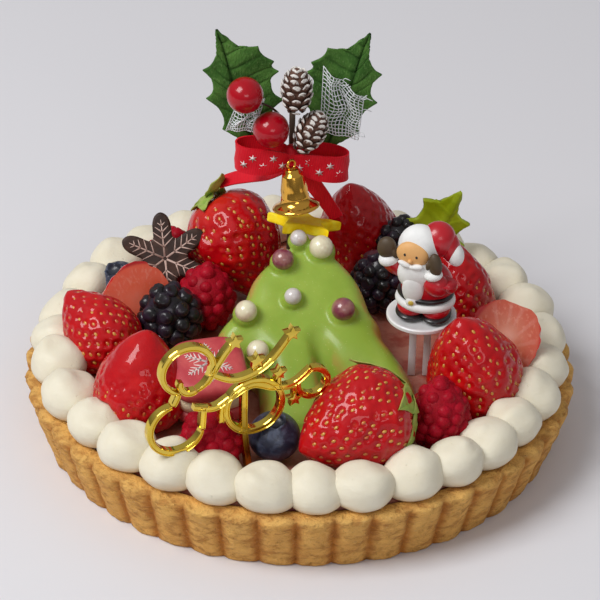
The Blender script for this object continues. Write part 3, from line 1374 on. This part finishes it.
def gold_finish(settings, name="gold", warm=0.0):
    """Bright plated plastic."""
    finish = Finish(name, roughness=0.14, metallic=1.0)
    worn = finish.patches(9.0, 3.0)
    colour = finish.mix(worn.step(0.4, 0.7) * 0.5, settings.gold, paint(214, 178, 58))
    if warm:
        colour = finish.mix(warm, colour, paint(232, 152, 62))
    ripple = finish.patches(3.0, 1.0)
    return finish.feed(base_color=colour, roughness=worn * 0.12 + 0.06, normal=finish.bump(ripple, 0.10, 0.5))


class TART_OT_sign(bpy.types.Operator):
    """Add the openwork gold sign of scrolls and stars"""

    bl_idname = "tart.add_sign"
    bl_label = "Gold sign"

    def execute(self, context):
        settings = context.scene.tart_metal
        width = settings.sign_stroke / MM
        depth = settings.sign_depth / MM
        bm = bmesh.new()
        arcs = (
            (arc((-22.2, 42.5), 8.6, 100, 345, 60), 0.5), (arc((-18.6, 63.0), 8.2, 250, -70, 72), 0.5),
            (arc((-17.6, 58.2), 3.4, -60, -200, 24), 0.3), (arc((22.6, 49.4), 4.9, 95, -190, 44), 0.3),
        )
        for points, taper in arcs:
            self.stroke(bm, points, width, depth, taper)
        self.stroke(bm, arc((3.2, 45.2), 9.2, 0, 360, 72)[:-1], width, depth, 0.0, closed=True)
        for index, points in enumerate(SIGN_ROUTES):
            smooth = [(point.x, point.z) for point in curved([(a, 0.0, u) for a, u in points], 12)]
            self.stroke(bm, smooth, width, depth - 0.05 * (index + 1), 0.25 if index < 6 else 0.0)
        for start, end in SIGN_STEMS:
            self.stroke(bm, [start, end], width * 0.7, depth - 0.7, 0.0)
        for along, up, size in SIGN_STARS:
            star = slab(star_outline(5, size, size * 0.48), depth + 0.2, 0.35, 2)
            join(bm, star, Matrix.Translation((along, 0, up)) @ rotation(90, "X"))
        bm.transform(Matrix.Translation(SIGN_PLACE) @ rotation(SIGN_TURN, "Z"))
        make_piece("gold_scroll_sign", bm, [gold_finish(settings)], "gold", "gold_sign", sharp=28)
        return {"FINISHED"}

    def stroke(self, bm, points, width, depth, taper, closed=False):
        """A flat bar with raised and bevelled edges on its front."""
        route = [Vector((along, 0.0, up)) for along, up in points]
        sides = [way.cross(Vector((0, 1, 0))) for way in course(route, closed)]
        half, deep = width / 2, depth / 2
        outline = (
            (-1.0, 1.0), (1.0, 1.0), (1.0, -0.72), (0.82, -1.0), (0.62, -1.0), (0.42, -0.70), (-0.42, -0.70),
            (-0.62, -1.0), (-0.82, -1.0), (-1.0, -0.72),
        )

        def section(share):
            swell = 1.0 - taper * (2 * share - 1) ** 4
            return [(half * swell * x, -deep * y) for x, y in outline]

        bar(bm, route, section, sides, closed)


class FigureSettings(bpy.types.PropertyGroup):
    coat: colour_setting("Coat", "Colour of the coat and hat", 188, 10, 30)
    fur: colour_setting("Fur", "Colour of the trimmings, beard and stand", 240, 240, 238)
    mittens: colour_setting("Mittens", "Colour of the mittens", 78, 62, 42)
    boots: colour_setting("Boots", "Colour of the boots and belt", 26, 24, 26)
    skin: colour_setting("Skin", "Colour of the face", 234, 178, 112)


FIGURE_PLACE = (39.6, -6.6, 45.5)
FIGURE_TURN = -14
STAND_X = 38.6
STAND_Y = -6.6
STAND_TOP = 44.4


class TART_OT_figure(bpy.types.Operator):
    """Add the small bearded figure in a red coat, and its stand"""

    bl_idname = "tart.add_figure"
    bl_label = "Figure and stand"

    def execute(self, context):
        settings = context.scene.tart_figure
        turn = Matrix.Translation(FIGURE_PLACE) @ rotation(FIGURE_TURN, "Z")
        for name, (colour, finish_settings, shapes) in self.parts(settings).items():
            bm = bmesh.new()
            for size, middle, lean in shapes:
                ball(bm, Matrix.Translation(middle) @ rotation(*lean) @ stretch(*size), 36, 24)
            if name == "figure_red_cloth":
                self.sleeves(bm)
            if name == "figure_white_trim":
                self.hoop(bm, 8.3, 7.0, (0, 0, 5.4), 1.5, 40, 12)
            if name == "figure_belt":
                self.hoop(bm, 8.35, 7.1, (0, 0.2, 7.9), 0.9, 48, 10)
            for vert in bm.verts:
                vert.co.z = max(vert.co.z, 0.0)
            bm.transform(turn)
            finish = Finish(name, **finish_settings)
            darker = [share * 0.72 for share in colour]
            tint = finish.mix(finish.patches(6.0).step(0.4, 0.7) * 0.35, colour, darker)
            finish.feed(base_color=tint, normal=finish.bump(finish.patches(1.6), 0.12, 0.5))
            make_piece(name, bm, [finish], "figure", "figure")
        self.stand(settings)
        return {"FINISHED"}

    def parts(self, settings):
        """Each part's colour, finish and round bodies, as (half sizes, middle, (lean, axis))."""
        glossy = {"roughness": 0.35, "coat_weight": 0.4, "coat_roughness": 0.15}
        matt = {"roughness": 0.55}
        upright = (0, "X")
        return {
            "figure_red_cloth": (settings.coat, glossy, [
                ((8.5, 7.2, 8.4), (0.3, 0.3, 10.6), upright),
                ((4.8, 6.2, 3.4), (-3.9, -1.2, 3.2), upright),
                ((4.8, 6.2, 3.4), (3.9, -1.2, 3.2), upright),
                ((5.6, 5.4, 6.0), (3.0, 1.4, 27.0), (16, "Y")),
                ((3.3, 3.8, 5.6), (6.9, 1.6, 24.8), (-14, "Y")),
                ((4.2, 3.4, 3.9), (4.4, -5.6, 14.2), (24, "Y")),
            ]),
            "figure_white_trim": (settings.fur, matt, [
                ((2.8, 2.8, 4.0), (8.9, 0.8, 22.6), (-10, "Y")),
                ((7.0, 5.7, 7.8), (-2.4, -1.0, 24.6), (6, "Y")),
                ((3.3, 3.0, 2.4), (-11.8, -3.4, 19.9), (-14, "Y")),
                ((3.0, 2.7, 1.9), (3.6, -6.6, 18.4), (-12, "Y")),
                ((1.9, 0.9, 1.9), (-3.0, -7.1, 7.4), upright),
            ]),
            "figure_beard": (settings.fur, matt, [
                ((6.2, 3.8, 6.6), (-2.4, -4.2, 16.4), (8, "X")),
                ((2.4, 1.0, 1.0), (-5.6, -7.4, 21.4), (20, "Y")),
                ((2.4, 1.0, 1.0), (-2.0, -7.6, 21.0), (-8, "Y")),
                ((3.6, 1.8, 5.6), (-2.8, -6.4, 11.8), (6, "X")),
            ]),
            "figure_face": (settings.skin, matt, [
                ((5.3, 2.3, 4.5), (-3.6, -5.5, 24.2), (12, "Y")),
                ((0.8, 0.7, 0.7), (-3.9, -8.0, 23.0), upright),
            ]),
            "figure_mittens": (settings.mittens, matt, [
                ((3.1, 2.3, 3.9), (-12.4, -3.8, 24.2), (4, "Y")),
                ((1.2, 1.2, 2.2), (-9.8, -4.4, 23.2), (-30, "Y")),
                ((2.2, 1.9, 4.1), (4.2, -7.2, 22.6), (-8, "Y")),
                ((1.0, 1.0, 1.9), (2.4, -7.6, 22.4), (24, "Y")),
            ]),
            "figure_boots": (settings.boots, glossy, [
                ((5.0, 6.5, 1.7), (-4.1, -1.7, 1.2), upright),
                ((5.0, 6.5, 1.7), (4.1, -1.7, 1.2), upright),
                ((0.42, 0.32, 0.55), (-5.7, -7.5, 24.9), upright),
                ((0.42, 0.32, 0.55), (-1.9, -7.55, 24.5), upright),
            ]),
            "figure_belt": (settings.boots, glossy, []),
            "figure_buckle": (paint(206, 176, 70), glossy, [((0.95, 0.5, 0.95), (-3.0, -7.8, 7.4), upright)]),
        }

    def sleeves(self, bm):
        routes = (
            [(-5.6, 0.0, 14.0), (-9.4, -2.2, 16.6), (-11.6, -3.3, 19.6)],
            [(5.6, -1.0, 13.0), (8.2, -4.0, 13.8), (8.4, -5.6, 15.6)],
        )
        for route in routes:
            smooth = curved(route, 8)
            section = round_section(2.8, 20)
            bar(bm, smooth, section, [Vector((0.3, 1, 0.2))] * len(smooth))

    def hoop(self, bm, wide, deep, middle, thick, steps, sides):
        """A level oval ring of a round bar, as the coat's hem and belt are."""
        route = []
        for step in range(steps):
            angle = TAU * step / steps
            route.append(Vector(middle) + Vector((wide * math.cos(angle), deep * math.sin(angle), 0)))
        bar(bm, route, round_section(thick, sides), [UP] * steps, closed=True)

    def stand(self, settings):
        """A white disc on a forked prong with a rounded slot."""
        profile = [(0.0, -0.8), (10.9, -0.8), (11.25, -0.5), (11.3, 0.0), (11.25, 0.5), (10.9, 0.8)]
        profile += [(10.2, 0.8), (9.9, 0.62), (0.0, 0.62)]
        bm = turned(profile, 96)
        bm.transform(Matrix.Translation((STAND_X, STAND_Y, STAND_TOP)))
        half, slot, neck = 3.5, 1.2, 40.2
        curve = [(-slot, DECK)]
        for step in range(13):
            angle = math.pi - math.pi * step / 12
            curve.append((slot * math.cos(angle), neck - slot + slot * math.sin(angle)))
        curve.append((slot, DECK))
        outline = [(-half, DECK), *curve, (half, DECK), (half, STAND_TOP), (-half, STAND_TOP)]
        prong = slab(outline, 2.0, 0.25, 2)
        join(bm, prong, Matrix.Translation((STAND_X, STAND_Y, 0)) @ rotation(90, "X"))
        finish = Finish("white_plastic", roughness=0.35, coat_weight=0.2, coat_roughness=0.2)
        colour = finish.mix(finish.patches(9.0).step(0.4, 0.7), settings.fur, paint(228, 228, 230))
        finish.feed(base_color=colour, normal=finish.bump(finish.patches(3.0), 0.05, 0.4))
        make_piece("forked_stand", bm, [finish], "white", "figure_stand", sharp=40)


class PickSettings(bpy.types.PropertyGroup):
    holly: colour_setting("Holly", "Colour of the fabric leaves", 60, 100, 42)
    berry: colour_setting("Red berry", "Colour of the shiny berries", 166, 0, 22)
    ribbon: colour_setting("Ribbon", "Colour of the ribbon", 222, 6, 34)
    net: colour_setting("Net", "Colour of the white net", 246, 248, 250)
    cone: colour_setting("Cone", "Colour of the cones' scales", 108, 72, 56)
    stick: colour_setting("Stick", "Colour of the stick and wires", 62, 48, 34)


HOLLY_EDGES = (
    ((11.2, 78.4), (12.8, 78.4)), ((4.0, 86.5), (22.4, 84.6)), ((6.4, 91.5), (23.0, 91.0)),
    ((2.6, 96.0), (27.8, 96.0)), ((6.8, 101.5), (25.6, 101.2)), ((4.4, 106.5), (29.0, 105.9)),
    ((6.0, 110.0), (25.0, 111.0)), ((11.2, 115.7), (24.8, 115.2)), ((17.0, 114.6), (24.8, 118.0)),
    ((24.6, 120.8), (24.7, 120.9)),
)
PICK_MIDDLE = -4.85
RED_BERRY_RADIUS = 5.95
RED_BERRIES = {"red_berry_upper": (-19.8, 28.0, 103.9), "red_berry_lower": (-11.2, 27.6, 91.6)}
CONES = {
    "cone_upper": ((-3.3, 28.2, 106.4), (0.0, 0.0, 1.0), 16.4, 11.6),
    "cone_lower": ((1.7, 27.4, 91.8), (0.42, 0.0, 0.9), 15.4, 11.2),
}
NETS = {
    "net_left": ((-26.0, 86.5), (-17.0, 86.5), (-13.6, 98.0), (-22.0, 97.0)),
    "net_right": ((4.6, 87.0), (17.0, 84.5), (18.5, 99.5), (5.2, 110.5)),
}
BOW_KNOT = (-4.6, 30.4, 79.6)
RIBBON_WIDTH = 9.6
# The bow's loops: how far each reaches, and its height at the knot and at its end
BOW_LOOPS = ((-18.0, 79.8, 80.6), (18.6, 79.6, 77.4))
# The ribbon's tails: the points of each, and the way that the ribbon's width takes at them
BOW_TAILS = (
    (
        ((-5.0, 31.0, 77.0), (-11.0, 34.5, 72.0), (-17.0, 38.5, 68.2), (-23.0, 42.5, 64.4),
         (-28.0, 46.0, 60.5)),
        ((0.5, 0.5, 1.0), (0.35, 0.7, 0.9), (0.2, 0.9, 0.7), (0.1, 1.0, 0.6), (0.0, 1.0, 0.5)),
    ),
    (
        ((-3.6, 31.0, 77.0), (0.5, 32.2, 72.0), (4.6, 32.8, 66.0), (8.0, 33.2, 60.5), (11.0, 33.6, 55.5)),
        ((1.0, 0.0, 0.9), (1.0, 0.0, 0.6), (1.0, 0.0, 0.5), (1.0, 0.0, 0.5), (1.0, 0.0, 0.5)),
    ),
)
STICK_PLACE = (-4.5, 37.2)
STICK_TOP = 97
HOLLY_Y = 39.6
NET_Y = 35.4
NET_THREAD_RADIUS = 0.17


class TART_OT_pick(bpy.types.Operator):
    """Add the pick behind the tree: leaves, berries, cones, net and wires"""

    bl_idname = "tart.add_pick"
    bl_label = "Holly pick"

    def execute(self, context):
        settings = context.scene.tart_pick
        self.holly(settings)
        self.berries(settings)
        self.cones(settings)
        self.nets(settings)
        self.stick(settings)
        return {"FINISHED"}

    def holly(self, settings):
        finish = Finish("holly_fabric", roughness=0.85, specular_ior_level=0.1)
        vein = finish.attribute("vein")
        fibres = finish.patches(0.7, 3.0, 0.7, finish.stretched((1.0, 1.0, 0.5)))
        colour = finish.mix(finish.patches(6.0).step(0.35, 0.7), settings.holly, paint(84, 126, 56))
        colour = finish.mix(fibres.step(0.5, 0.75) * 0.6, colour, paint(116, 150, 86))
        colour = finish.mix(vein * 0.8, colour, paint(22, 52, 16))
        finish.feed(base_color=colour, normal=finish.bump(fibres, 0.5, 1.0))
        for name, side in (("holly_left", -1), ("holly_right", 1)):
            pairs = []
            for inner, outer in HOLLY_EDGES:
                pair = [(PICK_MIDDLE + side * inner[0], inner[1]), (PICK_MIDDLE + side * outer[0], outer[1])]
                pairs.append(sorted(pair))
            bm = leaf_body(pairs, 0.8, 0.7, -0.8, 12)
            bmesh.ops.translate(bm, vec=(0, HOLLY_Y, 0), verts=bm.verts)
            make_piece("fabric_" + name, bm, [finish], "holly", name)

    def berries(self, settings):
        finish = Finish(
            "shiny_berry", roughness=0.35, coat_weight=1.0, coat_roughness=0.06, coat_ior=1.4,
            specular_ior_level=0.1,
        )
        colour = finish.mix(finish.patches(5.0).step(0.4, 0.7) * 0.5, settings.berry, paint(186, 4, 30))
        finish.feed(base_color=colour, normal=finish.bump(finish.patches(2.0), 0.04, 0.4))
        for name, middle in RED_BERRIES.items():
            bm = bmesh.new()
            shape = stretch(RED_BERRY_RADIUS, RED_BERRY_RADIUS, RED_BERRY_RADIUS)
            ball(bm, Matrix.Translation(middle) @ shape, 64, 48)
            make_piece("shiny_" + name, bm, [finish], "red", name)

    def cones(self, settings):
        """Each cone: rings of scales that stand out and curl up, with frosted tips."""
        finish = Finish("frosted_cone", roughness=0.7)
        tip = finish.attribute("tip")
        frost = (tip + finish.patches(1.4, 3.0) * 0.9 - 0.45).step(0.72, 0.86)
        colour = finish.mix(finish.patches(2.0), settings.cone, paint(82, 54, 42))
        colour = finish.mix(frost, colour, paint(226, 222, 216))
        finish.feed(base_color=colour, normal=finish.bump(finish.patches(0.6), 0.2, 0.7))
        for name, (middle, top, height, width) in CONES.items():
            bm = bmesh.new()
            matrix = pointing(top, middle)
            bm.verts.layers.float.new("tip")
            core = stretch(width * 0.34, width * 0.34, height * 0.46)
            ball(bm, matrix @ core, 20, 14)
            rows = 8
            for row in range(rows):
                share = (row + 0.6) / rows
                radius = width / 2 * max(math.sin(math.pi * share ** 0.85), 0.0) ** 0.62
                count = max(int(radius * 1.5), 4)
                for step in range(count):
                    angle = TAU * (step + 0.5 * (row % 2)) / count
                    out = Vector((math.cos(angle), math.sin(angle), 0.5 + 1.3 * share)).normalized()
                    side = UP.cross(out).normalized()
                    turn = Matrix((side, side.cross(-out), out)).transposed().to_4x4()
                    inner = radius * 0.42
                    seat = Vector((math.cos(angle) * inner, math.sin(angle) * inner, height * (share - 0.62)))
                    length = (radius - inner) * (1.15 + 0.5 * share) + 0.6
                    join(bm, self.scale(1.75, length), matrix @ Matrix.Translation(seat) @ turn)
            press_into(bm, name, 0.7)
            make_piece("frosted_" + name, bm, [finish], "cone", name)

    def scale(self, width, length):
        """One scale along +Z, whose end is wide and curls to +Y."""
        bm = bmesh.new()
        layer = bm.verts.layers.float.new("tip")
        for vert in ball(bm, Matrix(), 10, 8):
            reach = (vert.co.z + 1) / 2
            vert[layer] = reach
            broad = 0.55 + 0.6 * reach
            vert.co = Vector((vert.co.x * width * broad, vert.co.y * 0.5 + 0.7 * reach ** 2, reach * length))
        return bm

    def nets(self, settings):
        """Two scraps of woven net, thread by thread."""
        finish = Finish("net_thread", roughness=0.6)
        colour = finish.mix(finish.patches(1.0), settings.net, paint(206, 210, 214))
        finish.feed(base_color=colour, normal=finish.bump(finish.patches(0.3), 0.06, 0.5))
        for name, corners in NETS.items():
            low_left, low_right, high_right, high_left = (Vector(corner) for corner in corners)
            bm = bmesh.new()

            def point(across, up, over):
                place = low_left.lerp(low_right, across).lerp(high_left.lerp(high_right, across), up)
                fold = 1.5 * math.sin(across * TAU * 1.8 + 2.2 * up) * (0.35 + 0.65 * up)
                here = Vector((across * 3, up * 3, 1))
                pull = Vector((noise.noise(here), noise.noise(here + UP * 6))) * 2.4
                pull *= 1 - (2 * max(abs(across - 0.5), abs(up - 0.5))) ** 4
                return Vector((place.x + pull.x, NET_Y + fold + over, place.y + pull.y))

            ends, rows = 13, 17 if name == "net_right" else 12
            for thread in range(ends):
                across = thread / (ends - 1)
                route = [point(across, step / 20, 0.14 * (-1) ** (step + thread)) for step in range(21)]
                bar(bm, route, round_section(NET_THREAD_RADIUS, 5), [Vector((1, 0, 0))] * 21)
            for thread in range(rows):
                up = thread / (rows - 1)
                route = [point(step / 20, up, -0.14 * (-1) ** (step + thread)) for step in range(21)]
                bar(bm, route, round_section(NET_THREAD_RADIUS, 5), [UP] * 21)
            draw = random.Random(len(name))
            for _ in range(14):
                across, up = draw.choice(((draw.random(), 1.0), (draw.random(), 0.97), (1.0, draw.random())))
                start = point(across, up, 0.0)
                way = Vector((draw.uniform(-0.6, 1.0), draw.uniform(-0.5, 0.5), draw.uniform(-0.5, 0.6)))
                bow = Vector((draw.uniform(-1, 1), 0, draw.uniform(-1, 1))) * 1.2
                reach = draw.uniform(1.5, 4.0)
                shares = (0, 0.2, 0.4, 0.6, 0.8, 1.0)
                route = [start + way * reach * share + bow * math.sin(math.pi * share) for share in shares]
                bar(bm, route, round_section(0.13, 5), [Vector((0.1, 1, 0))] * 6)
            make_piece("woven_" + name, bm, [finish], "net", name)

    def stick(self, settings):
        bm = bmesh.new()
        x, y = STICK_PLACE
        route = [Vector((x, y, level)) for level in (DECK, 40, 60, 80, STICK_TOP)]
        bar(bm, route, round_section(1.0, 16), [Vector((1, 0, 0))] * len(route))
        end = Vector(RED_BERRIES["red_berry_upper"]) + Vector((3.6, 1.8, -5.2))
        wire = curved([(x + 0.2, y + 0.1, 83.2), (-9.0, 37.4, 92.0), (-14.0, 34.2, 97.4), end], 8)
        bar(bm, wire, round_section(0.42, 10), [Vector((0.2, 1, 0))] * len(wire))
        finish = Finish("wrapped_stick", roughness=0.6)
        rings = finish.patches(0.8, 2.0, 0.5, finish.stretched((1.0, 1.0, 4.0)))
        colour = finish.mix(rings, settings.stick, paint(86, 68, 48))
        finish.feed(base_color=colour, normal=finish.bump(rings, 0.15, 0.6))
        make_piece("pick_stem", bm, [finish], "stick", "pick_stick")


class TART_OT_bow(bpy.types.Operator):
    """Add the ribbon bow and its tails"""

    bl_idname = "tart.add_bow"
    bl_label = "Ribbon bow"

    def execute(self, context):
        settings = context.scene.tart_pick
        bm = bmesh.new()
        shape = Matrix.Translation(BOW_KNOT) @ stretch(2.9, 2.9, 5.1)
        for vert in ball(bm, shape, 48, 32):
            aside = Vector((vert.co.x - BOW_KNOT[0], vert.co.y - BOW_KNOT[1], 0))
            vert.co += aside * 0.06 * math.sin(vert.co.z * 3.0)
        for reach, middle_z, end_z in BOW_LOOPS:
            self.loop(bm, reach, middle_z, end_z)
        for points, ways in BOW_TAILS:
            section = tapered_section(RIBBON_WIDTH * 0.66, RIBBON_WIDTH * 0.46, 0.6)
            bar(bm, curved(points, 10), section, curved(ways, 10))
        finish = Finish("ribbon_cloth", roughness=0.5, specular_ior_level=0.3)
        x, _, z = finish.parts(finish.place())
        ribs = ((x + z * 0.15) * 11.0).sine() * 0.5 + 0.5
        colour = finish.mix(finish.patches(8.0).step(0.4, 0.7), settings.ribbon, paint(236, 22, 46))
        colour = finish.mix(ribs * 0.3, colour, paint(150, 0, 16))
        finish.feed(base_color=colour, normal=finish.bump(ribs, 0.10, 0.5))
        make_piece("ribbed_ribbon", bm, [finish], "ribbon", "ribbon_bow", sharp=40)
        self.marks()
        return {"FINISHED"}

    def loop_point(self, reach, middle_z, end_z, share):
        turn = TAU * share
        along = (1 - math.cos(turn)) / 2
        apart = 1.2 * math.cos(math.pi * share)
        x = BOW_KNOT[0] + reach * along
        y = BOW_KNOT[1] - 4.6 * math.sin(turn) * (0.5 + 0.5 * along) - apart
        return Vector((x, y, middle_z + (end_z - middle_z) * along))

    def loop(self, bm, reach, middle_z, end_z):
        route = [self.loop_point(reach, middle_z, end_z, step / 48) for step in range(49)]

        def section(share):
            pinch = 1 - 0.50 * max(math.cos(TAU * share), 0.0) ** 1.6
            wave = 0.25 * math.sin(share * 21)
            half = RIBBON_WIDTH / 2 * pinch
            return ((-half, -0.3), (-half * 0.33, -0.3 + wave), (half * 0.33, -0.3 - wave), (half, -0.3),
                    (half, 0.3), (half * 0.33, 0.3 - wave), (-half * 0.33, 0.3 + wave), (-half, 0.3))

        bar(bm, route, section, [UP] * len(route))

    def marks(self):
        """Small white snow stars along the front of the loops."""
        bm = bmesh.new()
        for reach, middle_z, end_z in BOW_LOOPS:
            for number, share in enumerate((0.13, 0.19, 0.25, 0.31, 0.37)):
                here = self.loop_point(reach, middle_z, end_z, share)
                ahead = self.loop_point(reach, middle_z, end_z, share + 0.01)
                along = (ahead - here).normalized()
                out = along.cross(UP).normalized()
                out = out if out.y < 0 else -out
                turn = Matrix((along, out.cross(along), out)).transposed().to_4x4()
                height = 1.4 * (1 if number % 2 else -1)
                star = slab(star_outline(6, 1.5, 0.5), 0.12)
                join(bm, star, Matrix.Translation(here + out * 0.36 + UP * height) @ turn)
        finish = Finish("ribbon_marks", roughness=0.6)
        finish.feed(base_color=finish.mix(finish.patches(1.0), paint(236, 232, 230), paint(222, 190, 190)))
        make_piece("ribbon_snow_marks", bm, [finish], "ribbon", "ribbon_bow")


# Bell: from the top of its outside down to the lip and up again inside, as shares of the radius and height
BELL_SHARES = (
    (0.0, 1.0), (0.27, 1.0), (0.32, 0.97), (0.33, 0.88), (0.43, 0.86), (0.45, 0.82), (0.50, 0.68),
    (0.54, 0.50), (0.57, 0.33), (0.595, 0.30), (0.59, 0.28), (0.595, 0.26), (0.63, 0.19), (0.72, 0.13),
    (0.87, 0.085), (0.985, 0.045), (1.0, 0.015), (0.97, 0.0), (0.90, 0.03), (0.70, 0.13), (0.53, 0.28),
    (0.47, 0.50), (0.44, 0.64), (0.36, 0.80), (0.20, 0.88), (0.0, 0.90),
)
BELL_PLACE = (-2.5, 20.2, 67.2)
BELL_UP = (-0.13, 0.16, 0.97)


class TART_OT_bell(bpy.types.Operator):
    """Add the open gold bell and its hanging ring"""

    bl_idname = "tart.add_bell"
    bl_label = "Bell"

    def execute(self, context):
        settings = context.scene.tart_metal
        radius = settings.bell_radius / MM
        tall = settings.bell_height / MM
        bm = turned([(radius * wide, tall * up) for wide, up in BELL_SHARES], 72)
        for vert in bm.verts:
            distance = math.hypot(vert.co.x, vert.co.y)
            level = vert.co.z / tall
            if 0.36 < level < 0.62 and distance > radius * 0.5:
                angle = math.atan2(vert.co.y, vert.co.x)
                lobe = smooth_step(math.sin(8 * angle), -0.1, 0.2)
                raised = 0.22 * lobe * smooth_step(0.60 - level, 0.0, 0.06)
                vert.co.x += raised * vert.co.x / distance
                vert.co.y += raised * vert.co.y / distance
        eye = []
        for step in range(28):
            angle = TAU * step / 28
            eye.append(Vector((1.5 * math.cos(angle), 0.0, tall + 1.3 + 1.5 * math.sin(angle))))
        bar(bm, eye, round_section(0.42, 10), [Vector((0, 1, 0))] * 28, closed=True)
        bm.transform(pointing(BELL_UP, BELL_PLACE))
        make_piece("gold_bell", bm, [gold_finish(settings, "bell_gold", 0.6)], "gold", "bell")
        return {"FINISHED"}


# Lights: places in metres, and the front one's power as a share of the other's
LIGHT_TARGET = (0, 0, 0.04)
KEY_LIGHT_PLACE = (-0.75, -0.40, 1.15)
FRONT_LIGHT_PLACE = (0.3, -1.5, 0.8)
FRONT_LIGHT_SHARE = 0.16
# Camera: angles in degrees, focal length and shift in pixels of the frame, the rest in millimetres
CAMERA_ELEVATION = 33.82
CAMERA_ROLL = 1.45
CAMERA_FOCAL = 3363.2
CAMERA_SHIFT = 62.8
CAMERA_FRAME = 600
CAMERA_TARGET_HEIGHT = 20
SENSOR_WIDTH = 36.0


class StageSettings(bpy.types.PropertyGroup):
    floor: colour_setting("Floor", "Colour of the pale floor", 226, 225, 229)
    key: FloatProperty(name="Soft light", description="Power of the large soft light", min=0.0, default=14.6)
    fill: FloatProperty(
        name="Fill light", description="Strength of the light all round", min=0.0, default=0.36
    )
    distance: length_setting("Camera distance", "From the camera to the middle of the tart", 1100.0)


class TART_OT_stage(bpy.types.Operator):
    """Add the floor, the lights and the camera"""

    bl_idname = "tart.add_stage"
    bl_label = "Stage"

    def execute(self, context):
        settings = context.scene.tart_stage
        self.floor(settings)
        self.lights(context.scene, settings)
        self.camera(context.scene, settings)
        context.scene.view_settings.view_transform = "Standard"
        return {"FINISHED"}

    def floor(self, settings):
        bm = bmesh.new()
        bmesh.ops.create_grid(bm, x_segments=4, y_segments=4, size=6.0)
        mesh = bpy.data.meshes.new("floor")
        bm.to_mesh(mesh)
        bm.free()
        floor = bpy.data.objects.new("floor", mesh)
        bpy.context.scene.collection.objects.link(floor)
        finish = Finish("floor", roughness=0.9, specular_ior_level=0.1)
        shade = [share * 0.98 for share in settings.floor]
        colour = finish.mix(finish.patches(900.0, 1.0), settings.floor, shade)
        mesh.materials.append(finish.feed(base_color=colour).material)

    def lights(self, scene, settings):
        def area(name, place, size, power):
            data = bpy.data.lights.new(name, "AREA")
            data.shape = "RECTANGLE"
            data.size, data.size_y = size
            data.energy = power
            light = bpy.data.objects.new(name, data)
            scene.collection.objects.link(light)
            way = Vector(place) - Vector(LIGHT_TARGET)
            light.matrix_world = Matrix.Translation(place) @ way.to_track_quat("Z", "Y").to_matrix().to_4x4()

        area("soft_key", KEY_LIGHT_PLACE, (0.7, 0.7), settings.key)
        area("soft_front", FRONT_LIGHT_PLACE, (0.7, 0.4), settings.key * FRONT_LIGHT_SHARE)
        world = bpy.data.worlds.new("studio")
        world.use_nodes = True
        tree = world.node_tree
        background = tree.nodes["Background"]
        place = tree.nodes.new("ShaderNodeTexCoord")
        split = tree.nodes.new("ShaderNodeSeparateXYZ")
        ramp = tree.nodes.new("ShaderNodeMapRange")
        blend = tree.nodes.new("ShaderNodeMix")
        blend.data_type = "RGBA"
        tree.links.new(place.outputs["Generated"], split.inputs[0])
        tree.links.new(split.outputs["Z"], ramp.inputs["Value"])
        ramp.inputs["From Min"].default_value = -0.1
        ramp.inputs["From Max"].default_value = 0.55
        blend.inputs[6].default_value = (0.30, 0.30, 0.33, 1.0)
        blend.inputs[7].default_value = (1.0, 0.99, 1.0, 1.0)
        tree.links.new(ramp.outputs["Result"], blend.inputs[0])
        tree.links.new(blend.outputs[2], background.inputs["Color"])
        background.inputs["Strength"].default_value = settings.fill
        scene.world = world

    def camera(self, scene, settings):
        elevation = math.radians(CAMERA_ELEVATION)
        back = Vector((0, -math.cos(elevation), math.sin(elevation)))
        right = Vector((1, 0, 0))
        basis = Matrix((right, back.cross(right), back)).transposed().to_4x4()
        tilt = Matrix.Rotation(math.atan(CAMERA_SHIFT / CAMERA_FOCAL), 4, "X")
        data = bpy.data.cameras.new("camera")
        data.sensor_width = SENSOR_WIDTH
        data.lens = SENSOR_WIDTH * CAMERA_FOCAL / CAMERA_FRAME
        camera = bpy.data.objects.new("camera", data)
        scene.collection.objects.link(camera)
        eye = Vector((0, 0, CAMERA_TARGET_HEIGHT * MM)) + back * settings.distance
        camera.matrix_world = Matrix.Translation(eye) @ basis @ rotation(CAMERA_ROLL, "Z") @ tilt
        scene.camera = camera


OPERATORS = (
    TART_OT_stage, TART_OT_crust, TART_OT_cream, TART_OT_strawberries, TART_OT_slices,
    TART_OT_cluster_berries, TART_OT_blueberries, TART_OT_tree, TART_OT_chocolates, TART_OT_macaron,
    TART_OT_sign, TART_OT_figure, TART_OT_pick, TART_OT_bow, TART_OT_bell,
)
GROUPS = {
    "tart_stage": StageSettings, "tart_crust": CrustSettings, "tart_cream": CreamSettings,
    "tart_fruit": FruitSettings, "tart_toppings": ToppingSettings, "tart_metal": MetalSettings,
    "tart_figure": FigureSettings, "tart_pick": PickSettings,
}


class TART_PT_panel(bpy.types.Panel):
    bl_label = "Strawberry tart"
    bl_idname = "TART_PT_panel"
    bl_space_type = "VIEW_3D"
    bl_region_type = "UI"
    bl_category = "Tart"

    def draw(self, context):
        for name, group in GROUPS.items():
            box = self.layout.box()
            for key in group.__annotations__:
                box.prop(getattr(context.scene, name), key)
        for operator in OPERATORS:
            self.layout.operator(operator.bl_idname)


def register():
    for item in (*GROUPS.values(), *OPERATORS, TART_PT_panel):
        bpy.utils.register_class(item)
    for name, group in GROUPS.items():
        setattr(bpy.types.Scene, name, PointerProperty(type=group))


def unregister():
    for name in GROUPS:
        delattr(bpy.types.Scene, name)
    for item in reversed((*GROUPS.values(), *OPERATORS, TART_PT_panel)):
        bpy.utils.unregister_class(item)


def main():
    register()
    for operator in OPERATORS:
        _, name = operator.bl_idname.split(".")
        getattr(bpy.ops.tart, name)()


if __name__ == "__main__":
    main()
